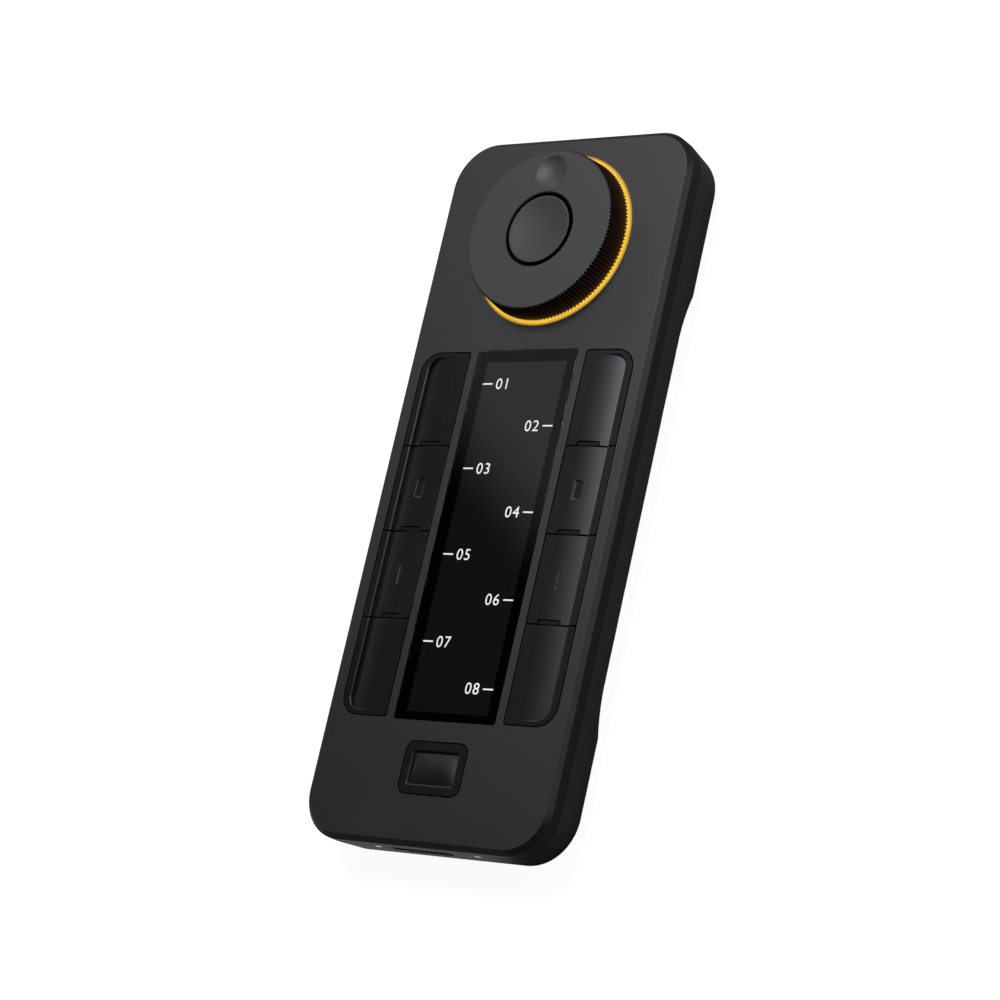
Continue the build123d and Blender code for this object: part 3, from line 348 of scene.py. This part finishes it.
def ribbed_plastic(name, ring_lit_colour, high_colour):
    """Bare plastic of the ribs round the dial, with the amber light of the light ring painted in, strongest
    low down.
    """
    made, tree, shader = new_material(name)
    climb = tree.ramp(tree.place_parts()["Z"], FACE, WHEEL_TOP)
    grain = tree.noise(tree.place_mm(), scale=5.0, detail=3.0)
    colour = tree.blend(climb, ring_lit_colour, high_colour)
    tree.feed(shader.inputs["Base Color"], tree.vector("SCALE", colour, tree.swing(grain, 0.85, 1.15)))
    tree.feed(shader.inputs["Roughness"], tree.swing(grain, 0.42, 0.52))
    shader.inputs["Specular IOR Level"].default_value = 0.3
    return made


def metal(name, colour, roughness):
    """Rolled or plated metal with fine lines along its length."""
    made, tree, shader = new_material(name)
    drawn_out = 8           # how much longer than wide a line is
    gloss_swing = 0.08
    place = tree.vector("MULTIPLY", tree.place(), (1 / MM, drawn_out / MM, drawn_out / MM))
    lines = tree.noise(place, scale=1.5, detail=3.0)
    tree.feed(shader.inputs["Base Color"], tree.vector("SCALE", colour, tree.swing(lines, 0.85, 1.1)))
    rough = tree.between(lines, roughness - gloss_swing, roughness + gloss_swing)
    tree.feed(shader.inputs["Roughness"], rough)
    shader.inputs["Metallic"].default_value = 1.0
    return made


def smoked_glass(name):
    """Polished cover glass, grey in its body."""
    made, tree, shader = new_material(name)
    wipe = tree.noise(tree.place_mm(), scale=0.12, detail=3.0)
    tree.feed(shader.inputs["Roughness"], tree.ramp(wipe, 0.35, 0.7, start=0.02, stop=0.06))
    shader.inputs["Base Color"].default_value = (0.94, 0.94, 0.95, 1)
    shader.inputs["Transmission Weight"].default_value = 1.0
    shader.inputs["IOR"].default_value = 1.5
    return made


def under_glass(name, tint, reflection_share, dark, speck, detail):
    """Nearly black cells or ink behind the glass, with a painted reflection of a soft box over them."""
    made, tree, shader = new_material(name)
    reflection = tree.add("ShaderNodeGroup", node_tree=PAINTED_REFLECTION_GROUP).outputs["Level"]
    climb = tree.math("MULTIPLY_ADD", reflection, reflection_share, dark)
    specks = tree.noise(tree.place_mm(), scale=speck, detail=detail)
    level = tree.math("MULTIPLY", climb, tree.between(specks, 0.95, 1.05))
    glowing(tree, shader, tree.vector("SCALE", tint, level))
    shader.inputs["Base Color"].default_value = (0.001, 0.001, 0.001, 1)
    shader.inputs["Roughness"].default_value = 0.5
    shader.inputs["Specular IOR Level"].default_value = 0.0
    return made


def lit_numbers(name):
    """White cells of the display, a little uneven."""
    made, tree, shader = new_material(name)
    cells = tree.noise(tree.place_mm(), scale=3.0)
    glowing(tree, shader, tree.vector("SCALE", WHITE, tree.swing(cells, 0.92, 1.06)))
    shader.inputs["Base Color"].default_value = (0.1, 0.1, 0.1, 1)
    return made


# One finish for each material slot, by the slot's name.
FINISHES = {finish.name: finish for finish in (
    moulded("shell_soft_black", (0.006, 0.006, 0.0062), roughness=0.52, edge=(0.02, 0.02, 0.0205),
            specular=0.94),
    moulded("case_black", (0.082, 0.082, 0.084), roughness=0.5, edge=(0.1, 0.1, 0.102)),
    moulded("key_black", (0.009, 0.009, 0.0092), roughness=0.36, edge=(0.025, 0.025, 0.026),
            grain_deep=0.004, specular=0.43),
    moulded("dial_black", (0.05, 0.05, 0.051), roughness=0.6, edge=(0.07, 0.07, 0.072), specular=0.78),
    smoked_glass("display_glass"),
    under_glass("display_lit", PANEL_TINT, PANEL_REFLECTION, PANEL_DARK, speck=4.0, detail=1.0),
    moulded("foot_rubber", (0.014, 0.014, 0.014), roughness=0.8, grain=0.3, grain_deep=0.02),
    lit_ring("light_amber"),
    lit_guide("status_green", GREEN),
    lit_guide("status_blue", BLUE),
    metal("spring_steel", (0.55, 0.55, 0.57), roughness=0.32),
    metal("screw_steel", (0.3, 0.3, 0.32), roughness=0.4),
    moulded("flex_amber", (0.35, 0.16, 0.03), roughness=0.4),
    moulded("connector_white", (0.75, 0.72, 0.66), roughness=0.5),
    moulded("bush_acetal", (0.75, 0.74, 0.71), roughness=0.45),
    moulded("magnet_dark", (0.05, 0.048, 0.045), roughness=0.6),
    moulded("board_green", (0.012, 0.09, 0.045), roughness=0.3),
    moulded("chip_black", (0.02, 0.02, 0.021), roughness=0.5),
    moulded("emitter_white", (0.8, 0.78, 0.68), roughness=0.4),
    metal("battery_foil", (0.5, 0.5, 0.52), roughness=0.35),
    moulded("lead_red", (0.45, 0.02, 0.02), roughness=0.5),
)}
painted_ring_glow(FINISHES["shell_soft_black"])
painted_lamp_glow(FINISHES["case_black"])

# Second finishes, for some faces of a piece.
RING_LIT_KNURL = ribbed_plastic("ring_lit_knurl", KNURL_RING_LIT, KNURL_HIGH)
# Near-black finish with almost no gloss, for painted shade in recesses.
PAINTED_SHADE_BLACK = moulded("painted_shade_black", (0.006, 0.006, 0.006), roughness=0.6, edge=(0.009, 0.009, 0.009),
                     specular=0.06)
WORN_BLACK = moulded("worn_black", (0.044, 0.044, 0.0449), roughness=0.5, edge=(0.06, 0.06, 0.061),
                     specular=0.9)
DISH_BLACK = moulded("dish_black", (0.012, 0.012, 0.0122), roughness=0.38, edge=(0.035, 0.035, 0.036),
                     grain_deep=0.004, specular=0.75)
# Black print behind the glass; all the light it gives off is the painted reflection.
PRINT_AND_REFLECTION = under_glass("print_and_reflection", PRINT_REFLECTION_TINT, reflection_share=1.0, dark=0.0, speck=2.0, detail=2.0)
LIT_NUMBERS = lit_numbers("lit_numbers")

for node, piece in nodes.items():
    piece.data.materials.append(FINISHES[slot_of[node]])


# ---- Modelling helpers ----
SMOOTH_JOIN = math.radians(3.0)     # two faces that meet flatter than this run on into each other
FLAT_JOIN = math.radians(0.05)      # and flatter than this they are one face
MERGE_WITHIN = 0.0005 * MM


def only(piece):
    """Select and activate one piece alone."""
    bpy.ops.object.select_all(action="DESELECT")
    piece.select_set(True)
    bpy.context.view_layer.objects.active = piece


def join_all(pieces, main):
    """Make one piece of several; the main one keeps its place and its finishes."""
    bpy.ops.object.select_all(action="DESELECT")
    for piece in pieces:
        piece.select_set(True)
    bpy.context.view_layer.objects.active = main
    bpy.ops.object.join()


def settle():
    """Work the active piece's place and size into its mesh."""
    bpy.ops.object.transform_apply(location=True, rotation=True, scale=True)


def apply_modifier(piece, kind, **settings):
    only(piece)
    made = piece.modifiers.new(kind.lower(), kind)
    for key, value in settings.items():
        setattr(made, key, value)
    bpy.ops.object.modifier_apply(modifier=made.name)


def corner_box(points):
    """Lowest and highest corner of a set of points."""
    low = Vector([min(point[i] for point in points) for i in range(3)])
    high = Vector([max(point[i] for point in points) for i in range(3)])
    return low, high


def second_finish(piece, finish, chosen):
    """Give another finish to the faces that a test picks out."""
    if finish.name not in piece.data.materials:
        piece.data.materials.append(finish)
    place = piece.data.materials.find(finish.name)
    for face in piece.data.polygons:
        if chosen(face):
            face.material_index = place


def merged_copy(node, label):
    """Copy of a CAD node with its faces joined; edges where its surface turns are marked sharp."""
    piece = bpy.data.objects.new(f"{node}_{label}", nodes[node].data.copy())
    bpy.context.scene.collection.objects.link(piece)
    only(piece)
    bpy.ops.object.mode_set(mode="EDIT")
    bpy.ops.mesh.select_mode(type="EDGE")
    bpy.ops.mesh.select_all(action="DESELECT")
    bpy.ops.mesh.select_non_manifold()
    bpy.ops.mesh.mark_sharp()
    bpy.ops.mesh.select_all(action="SELECT")
    bpy.ops.mesh.remove_doubles(threshold=MERGE_WITHIN)
    bpy.ops.mesh.customdata_custom_splitnormals_clear()
    shape = bmesh.from_edit_mesh(piece.data)
    for edge in shape.edges:
        if edge.calc_face_angle(math.pi) < SMOOTH_JOIN:
            edge.smooth = True
    bmesh.update_edit_mesh(piece.data)
    bpy.ops.mesh.dissolve_limited(angle_limit=FLAT_JOIN, use_dissolve_boundaries=False, delimit={"SHARP"})
    bpy.ops.object.mode_set(mode="OBJECT")
    return piece


def dressed(piece, node):
    """Let a piece stand for a CAD node: it joins the node's body, and the node is hidden."""
    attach(piece, body_of[node])
    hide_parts(node)


# ---- Moulded pieces ----
# Widths of rounded edges, in millimetres.
EDGE = 0.08
FINE_EDGE = 0.06
CASE_EDGE = 0.12
RIM_EDGE = 0.32
SLANT_LEAST = 0.5           # upward part of the normal on the slanted margin
SLANT_MOST = 0.95
LEVEL = 0.99                # and on the flat face
KEY_ROWS = 4
NOTCH_FROM_END = 0.8 * MM
NOTCH_BAND = 0.75 * MM


def weigh(piece, amount, chosen):
    """Add to the bevel weight of the edges that a test picks out."""
    only(piece)
    bpy.ops.object.mode_set(mode="EDIT")
    shape = bmesh.from_edit_mesh(piece.data)
    for edge in shape.edges:
        edge.select_set(chosen(edge))
    bmesh.update_edit_mesh(piece.data)
    bpy.ops.transform.edge_bevelweight(value=amount)
    bpy.ops.object.mode_set(mode="OBJECT")


def is_rim(edge):
    """Edge between the flat face and the slanted margin round it."""
    rise = sorted(face.normal.z for face in edge.link_faces)
    return len(rise) == 2 and SLANT_LEAST < rise[0] < SLANT_MOST and rise[1] > LEVEL


def no_edge(edge):
    """Test that picks out no edge."""
    return False


def in_notch(node):
    """Test for the edges of the notch at a key's near end, which stay crisp because they lie so close."""
    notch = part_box(node)[0].y + NOTCH_FROM_END
    return lambda edge: abs((edge.verts[0].co.y + edge.verts[1].co.y) / 2 - notch) < NOTCH_BAND


def softened(node, width, steps=3, rim_width=0.0, crisp=no_edge):
    """Moulded piece in place of its plain node, its sharp edges slightly rounded but for the crisp ones."""
    piece = merged_copy(node, "moulded")
    widest = max(width, rim_width)
    weigh(piece, width / widest, lambda edge: not edge.smooth and not crisp(edge))
    if rim_width:
        weigh(piece, 1.0 - width / widest, is_rim)
    bpy.ops.object.shade_smooth_by_angle(angle=math.pi, keep_sharp_edges=True)
    apply_modifier(piece, "BEVEL", width=widest * MM, segments=steps, limit_method="WEIGHT",
                   harden_normals=True, use_clamp_overlap=True)
    apply_modifier(piece, "WEIGHTED_NORMAL", mode="FACE_AREA", weight=50, keep_sharp=True)
    dressed(piece, node)
    return piece


softened("top_shell", EDGE, rim_width=RIM_EDGE)
case = softened("bottom_case", CASE_EDGE)
for side in ("left", "right"):
    for row in range(1, KEY_ROWS + 1):
        key = f"key_{side}_{row}"
        crisp = in_notch(key) if row < KEY_ROWS else no_edge    # the last key has no notch
        softened(key, EDGE, crisp=crisp)
set_button = softened("set_button", EDGE)
wheel = softened("dial_wheel", FINE_EDGE, steps=2)
button = softened("dial_button", EDGE)
slider = softened("power_slider", FINE_EDGE)


# ---- Second finishes on moulded pieces ----
# A rise is the upward part of a face's normal: 0 on a wall and 1 on a level face.
DISH_TOP = FACE - 0.05 * MM
DISH_RISE = 0.2
DOME_RISE_LEAST = 0.97
DOME_RISE_MOST = 0.999
DOME_FACET = 1.0 * MM ** 2
DOME_STEPS = (32, 24)
DOME_TALL = 0.42 * MM
DOME_LIFT = 0.01 * MM
KNURL_FROM = RING_OUT - 3.0 * MM
KNURL_RISE = 0.3
DIMPLE_HALF = 4.1 * MM
DIMPLE_FROM = 8.9 * MM
DIMPLE_TO = 17.4 * MM
DIMPLE_DEEP = 0.005 * MM
DIMPLE_RISE = 0.85
GROOVE_REACH = (BUTTON_HIGH.x - BUTTON_LOW.x) / 2 + 0.6 * MM
GROOVE_DEEP = 1.0 * MM
GROOVE_RISE = 0.5
SLIDER_TRAVEL = 3.5 * MM
SLOT_BESIDE = 1.0 * MM
SLOT_OVER = 0.6 * MM
SLOT_FROM = 0.25 * MM
SLOT_TO = 4.0 * MM


def from_dial(face):
    """Where a face lies from the axis of the dial, and how far out that is."""
    place = face.center - RING_CENTRE
    return place, math.hypot(place.x, place.y)


def dished_dome():
    """The low swelling in the set button's dish, broad and smooth, over its flat-sided CAD shape."""
    mesh = set_button.data
    slopes = [face for face in mesh.polygons
              if DOME_RISE_LEAST < face.normal.z < DOME_RISE_MOST
              and face.area > DOME_FACET and face.center.z < DISH_TOP]
    low, high = corner_box([mesh.vertices[i].co for face in slopes for i in face.vertices])
    middle = (low + high) / 2
    half = (high - low) / 2
    for vertex in mesh.vertices:
        away = vertex.co - middle
        if abs(away.x) < half.x / 2 and abs(away.y) < half.y / 2 and vertex.co.z > low.z:
            vertex.co.z = low.z
    bpy.ops.object.select_all(action="DESELECT")
    bpy.ops.mesh.primitive_grid_add(x_subdivisions=DOME_STEPS[0], y_subdivisions=DOME_STEPS[1], size=1)
    dome = bpy.context.object
    for vertex in dome.data.vertices:
        u = vertex.co.x * 2
        v = vertex.co.y * 2
        rise = (1 - u ** 4) * (1 - v ** 2) * DOME_TALL
        vertex.co = (middle.x + u * half.x, middle.y + v * half.y, low.z + DOME_LIFT + rise)
    bpy.ops.object.shade_smooth()
    dome.data.materials.append(DISH_BLACK)
    join_all([dome, set_button], set_button)
    second_finish(set_button, DISH_BLACK,
                  lambda face: face.center.z < DISH_TOP and face.normal.z > DISH_RISE)


def ring_lit_knurl(face):
    """The ribs round the dial are bare plastic with the ring's light painted in; only its top has the soft
    paint.
    """
    return from_dial(face)[1] > KNURL_FROM and face.normal.z < KNURL_RISE


def worn_dimple(face):
    """The finger dimple in the dial is rubbed smoother than the paint round it."""
    place, radius = from_dial(face)
    within = abs(place.x) < DIMPLE_HALF and place.y > DIMPLE_FROM and radius < DIMPLE_TO
    return within and face.normal.z > DIMPLE_RISE and face.center.z < WHEEL_TOP - DIMPLE_DEEP


def shaded_groove(face):
    """Painted shade in the groove between the dial and its button: its walls and floor take the near-black
    finish.
    """
    steep = abs(face.normal.z) < GROOVE_RISE
    deep = face.center.z < BUTTON_HIGH.z - GROOVE_DEEP
    return from_dial(face)[1] < GROOVE_REACH and (steep or deep)


def shaded_slot(face):
    """Painted shade in the slot of the power slider: its faces take the near-black finish, darker than the
    wall round it.
    """
    place = face.center
    beside = SLIDER_LOW.x - SLIDER_TRAVEL - SLOT_BESIDE < place.x < SLIDER_HIGH.x + SLOT_BESIDE
    level = SLIDER_LOW.z - SLOT_OVER < place.z < SLIDER_HIGH.z + SLOT_OVER
    return beside and level and CASE_FRONT + SLOT_FROM < place.y < CASE_FRONT + SLOT_TO


dished_dome()
second_finish(wheel, RING_LIT_KNURL, ring_lit_knurl)
second_finish(wheel, WORN_BLACK, worn_dimple)
second_finish(wheel, PAINTED_SHADE_BLACK, shaded_groove)
second_finish(button, PAINTED_SHADE_BLACK, shaded_groove)
second_finish(case, PAINTED_SHADE_BLACK, shaded_slot)
# The slider takes the same near-black finish as the painted shade of its slot.
slider.data.materials.clear()
slider.data.materials.append(PAINTED_SHADE_BLACK)


# ---- Display ----
GLASS_LIFT = 0.04 * MM
GLASS_EDGE = 0.15 * MM
GLASS_TURN = math.radians(30)
GLASS_LEVEL = 0.95
PRINT_PLANE = PANEL_HIGH.z + GLASS_LIFT / 2
PRINT_THICK = 0.012 * MM
BORDER_SIDE = 2.7 * MM
BORDER_TOP = 2.5 * MM
BORDER_BOTTOM = 1.85 * MM
PICTURE_ROWS = 2 * KEY_ROWS     # one for each key
ROW_PITCH = 9.56 * MM
TICK_EDGE = 10.45 * MM
TICK_LENGTH = 2.6 * MM
TICK_THICK = 0.32 * MM
TEXT_GAP = 1.0 * MM
TEXT_SPREAD = 1.15
CAP_HEIGHT = 2.45 * MM


def flat_square(place=(0, 0, 0)):
    """New flat square, one metre wide, as the only piece selected."""
    bpy.ops.object.select_all(action="DESELECT")
    bpy.ops.mesh.primitive_plane_add(size=1, location=place)
    return bpy.context.object


def printed(piece, finish):
    """Thin print on the display, in its own finish."""
    apply_modifier(piece, "SOLIDIFY", thickness=PRINT_THICK, offset=0.0)
    piece.data.materials.clear()
    piece.data.materials.append(finish)
    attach(piece, "case")


def cover_glass():
    """Glass with ground and inked edges, a hair above the print on its back."""
    piece = merged_copy("display_glass", "ground")
    only(piece)
    bpy.ops.object.mode_set(mode="EDIT")
    shape = bmesh.from_edit_mesh(piece.data)
    middle = (GLASS_LOW.z + GLASS_HIGH.z) / 2
    for vertex in shape.verts:
        vertex.select_set(vertex.co.z < middle)
    shape.select_flush(True)
    bmesh.update_edit_mesh(piece.data)
    bpy.ops.transform.translate(value=(0, 0, GLASS_LIFT))
    bpy.ops.object.mode_set(mode="OBJECT")
    bpy.ops.object.shade_smooth_by_angle(angle=GLASS_TURN)
    apply_modifier(piece, "BEVEL", width=GLASS_EDGE, segments=3, limit_method="ANGLE",
                   angle_limit=GLASS_TURN, harden_normals=True)
    second_finish(piece, PRINT_AND_REFLECTION, lambda face: abs(face.normal.z) < GLASS_LEVEL)
    dressed(piece, "display_glass")


def glass_border():
    """Black print round the picture, on the back of the glass."""
    middle = (GLASS_LOW + GLASS_HIGH) / 2
    size = GLASS_HIGH - GLASS_LOW
    piece = flat_square()
    piece.name = "display_border"
    piece.scale = (size.x, size.y, 1)
    piece.location = (middle.x, middle.y, PRINT_PLANE)
    settle()
    bpy.ops.object.mode_set(mode="EDIT")
    bpy.ops.mesh.select_all(action="SELECT")
    bpy.ops.mesh.inset(thickness=BORDER_SIDE)
    longer = (size.y - BORDER_TOP - BORDER_BOTTOM) / (size.y - 2 * BORDER_SIDE)
    bpy.ops.transform.resize(value=(1, longer, 1))
    bpy.ops.transform.translate(value=(0, (BORDER_BOTTOM - BORDER_TOP) / 2, 0))
    bpy.ops.mesh.delete(type="FACE")
    bpy.ops.object.mode_set(mode="OBJECT")
    printed(piece, PRINT_AND_REFLECTION)


def tick(edge, y):
    """Short line from the edge of the picture towards its middle; returns it and its inner end."""
    inner = edge - math.copysign(TICK_LENGTH, edge)
    piece = flat_square(((edge + inner) / 2, y, 0))
    piece.scale = (TICK_LENGTH, TICK_THICK, 1)
    settle()
    return piece, inner


def number(text, start, y, side):
    """Plain number that starts, or on the right ends, at a given place."""
    bpy.ops.object.select_all(action="DESELECT")
    bpy.ops.object.text_add(location=(0, 0, 0))
    words = bpy.context.object
    words.data.body = text
    words.data.space_character = TEXT_SPREAD
    bpy.ops.object.convert(target="MESH")
    piece = bpy.context.object
    low, high = corner_box([vertex.co for vertex in piece.data.vertices])
    scale = CAP_HEIGHT / (high.y - low.y)
    edge = low.x if side < 0 else high.x
    piece.scale = (scale, scale, 1)
    piece.location = (start - edge * scale, y - (low.y + high.y) / 2 * scale, 0)
    settle()
    return piece


def picture():
    """Eight plain numbers, one for each key, each beside a short line at the edge of the picture."""
    pieces = []
    for row in range(PICTURE_ROWS):
        side = -1 if row % 2 == 0 else 1
        y = PANEL_MIDDLE_Y + ((PICTURE_ROWS - 1) / 2 - row) * ROW_PITCH
        line, inner = tick(side * TICK_EDGE, y)
        pieces += [line, number(f"{row + 1:02d}", inner - side * TEXT_GAP, y, side)]
    join_all(pieces, pieces[0])
    joined = bpy.context.object
    joined.name = "display_numbers"
    joined.location = (0, 0, PRINT_PLANE)
    settle()
    printed(joined, LIT_NUMBERS)


cover_glass()
glass_border()
picture()


# ---- Lamps ----
DAYLIGHT = (1.0, 1.0, 1.07)


def studio_lamp(name, toward, share, far=0.9, side=0.3, colour=(1, 1, 1)):
    """Square soft lamp in a direction from the object; share is its part of full white light."""
    data = bpy.data.lights.new(name, "AREA")
    data.shape = "RECTANGLE"
    data.size = side
    data.size_y = side
    data.energy = math.pi ** 2 * far ** 2 * share
    data.color = colour
    place = Vector(toward).normalized() * far
    made = bpy.data.objects.new(name, data)
    bpy.context.scene.collection.objects.link(made)
    made.location = place
    made.rotation_euler = (-place).to_track_quat("-Z", "Y").to_euler()


studio_lamp("soft_box_behind", (-0.1, 0.42, 0.9), share=0.41, far=0.55, side=0.2, colour=DAYLIGHT)
studio_lamp("side_lamp_right", (0.7, 0.35, 0.62), share=0.10)
studio_lamp("low_lamp_left", (-0.9, 0.2, 0.3), share=0.035)
studio_lamp("low_lamp_behind", (-0.6, 0.7, 0.3), share=0.07)
studio_lamp("low_lamp_front", (0, -0.95, 0.12), share=0.012)


# ---- Floor and surroundings ----
FLOOR_DROP = 0.05 * MM      # keeps the floor just clear of the feet
FLOOR_WIDE = 12             # metres
FLOOR_COLOUR = (0.3, 0.3, 0.3, 1)
FLOOR_SEEN = 0.95
FLOOR_MIRRORED = 0.38
FLOOR_DIM = 0.02
FLOOR_FRONT_FADE = 10 * MM
FLOOR_LEFT_FROM = 12 * MM
FLOOR_LEFT_TO = 24 * MM
SKY_SHARE = 0.005           # light that the surroundings give the object; seen directly they are white


def pale_floor(name):
    """Floor seen as near white; in reflections it is bright in front of the near end and dim elsewhere."""
    made, tree, shader = new_material(name)
    shader.inputs["Base Color"].default_value = FLOOR_COLOUR
    shader.inputs["Roughness"].default_value = 0.9
    shader.inputs["Specular IOR Level"].default_value = 0.0
    path = tree.add("ShaderNodeLightPath").outputs
    place = tree.place_parts()
    front = tree.ramp(place["Y"], CASE_FRONT + FLOOR_FRONT_FADE, CASE_FRONT,
                      FLOOR_DIM, 1.0, "SMOOTHSTEP")
    left = tree.ramp(place["X"], CASE_RIGHT - FLOOR_LEFT_FROM, CASE_RIGHT - FLOOR_LEFT_TO,
                     FLOOR_DIM, 1.0, "SMOOTHSTEP")
    level = tree.math("MULTIPLY", tree.math("MULTIPLY", front, left), FLOOR_MIRRORED)
    mirrored = tree.math("MULTIPLY", path["Is Glossy Ray"], level)
    strength = tree.math("MULTIPLY_ADD", path["Is Camera Ray"], FLOOR_SEEN, mirrored)
    tree.feed(shader.inputs["Emission Strength"], strength)
    shader.inputs["Emission Color"].default_value = (1, 1, 1, 1)
    return made


bpy.ops.object.select_all(action="DESELECT")
bpy.ops.mesh.primitive_plane_add(size=FLOOR_WIDE, location=(0, 0, -FLOOR_DROP))
floor = bpy.context.object
floor.name = "floor"
floor.data.materials.append(pale_floor("pale_floor"))

world = bpy.data.worlds.new("studio")
bpy.context.scene.world = world
world.use_nodes = True
sky = Tree(world.node_tree)
direct = sky.add("ShaderNodeLightPath").outputs["Is Camera Ray"]
back = world.node_tree.nodes["Background"]
back.inputs["Color"].default_value = (1, 1, 1, 1)
sky.feed(back.inputs["Strength"], sky.ramp(direct, 0.0, 1.0, SKY_SHARE, 1.0))


# ---- Camera ----
CAMERA_PLACE = Vector((0.38477, -0.17116, 0.48691))
CAMERA_LOOK = Vector((-0.606, 0.2637, -0.7505))
CAMERA_UP = Vector((-0.0119, 0.9403, 0.3400))
CAMERA_SENSOR = 36          # millimetres, as is the lens
CAMERA_LENS = 109.417

data = bpy.data.cameras.new("camera")
data.sensor_width = CAMERA_SENSOR
data.lens = CAMERA_LENS
camera = bpy.data.objects.new("camera", data)
bpy.context.scene.collection.objects.link(camera)
back_axis = -CAMERA_LOOK.normalized()
side_axis = CAMERA_UP.cross(back_axis).normalized()
up_axis = back_axis.cross(side_axis)
turn = Matrix((side_axis, up_axis, back_axis)).transposed().to_4x4()
camera.matrix_world = Matrix.Translation(CAMERA_PLACE) @ turn
bpy.context.scene.camera = camera
bpy.context.scene.view_settings.view_transform = "Standard"
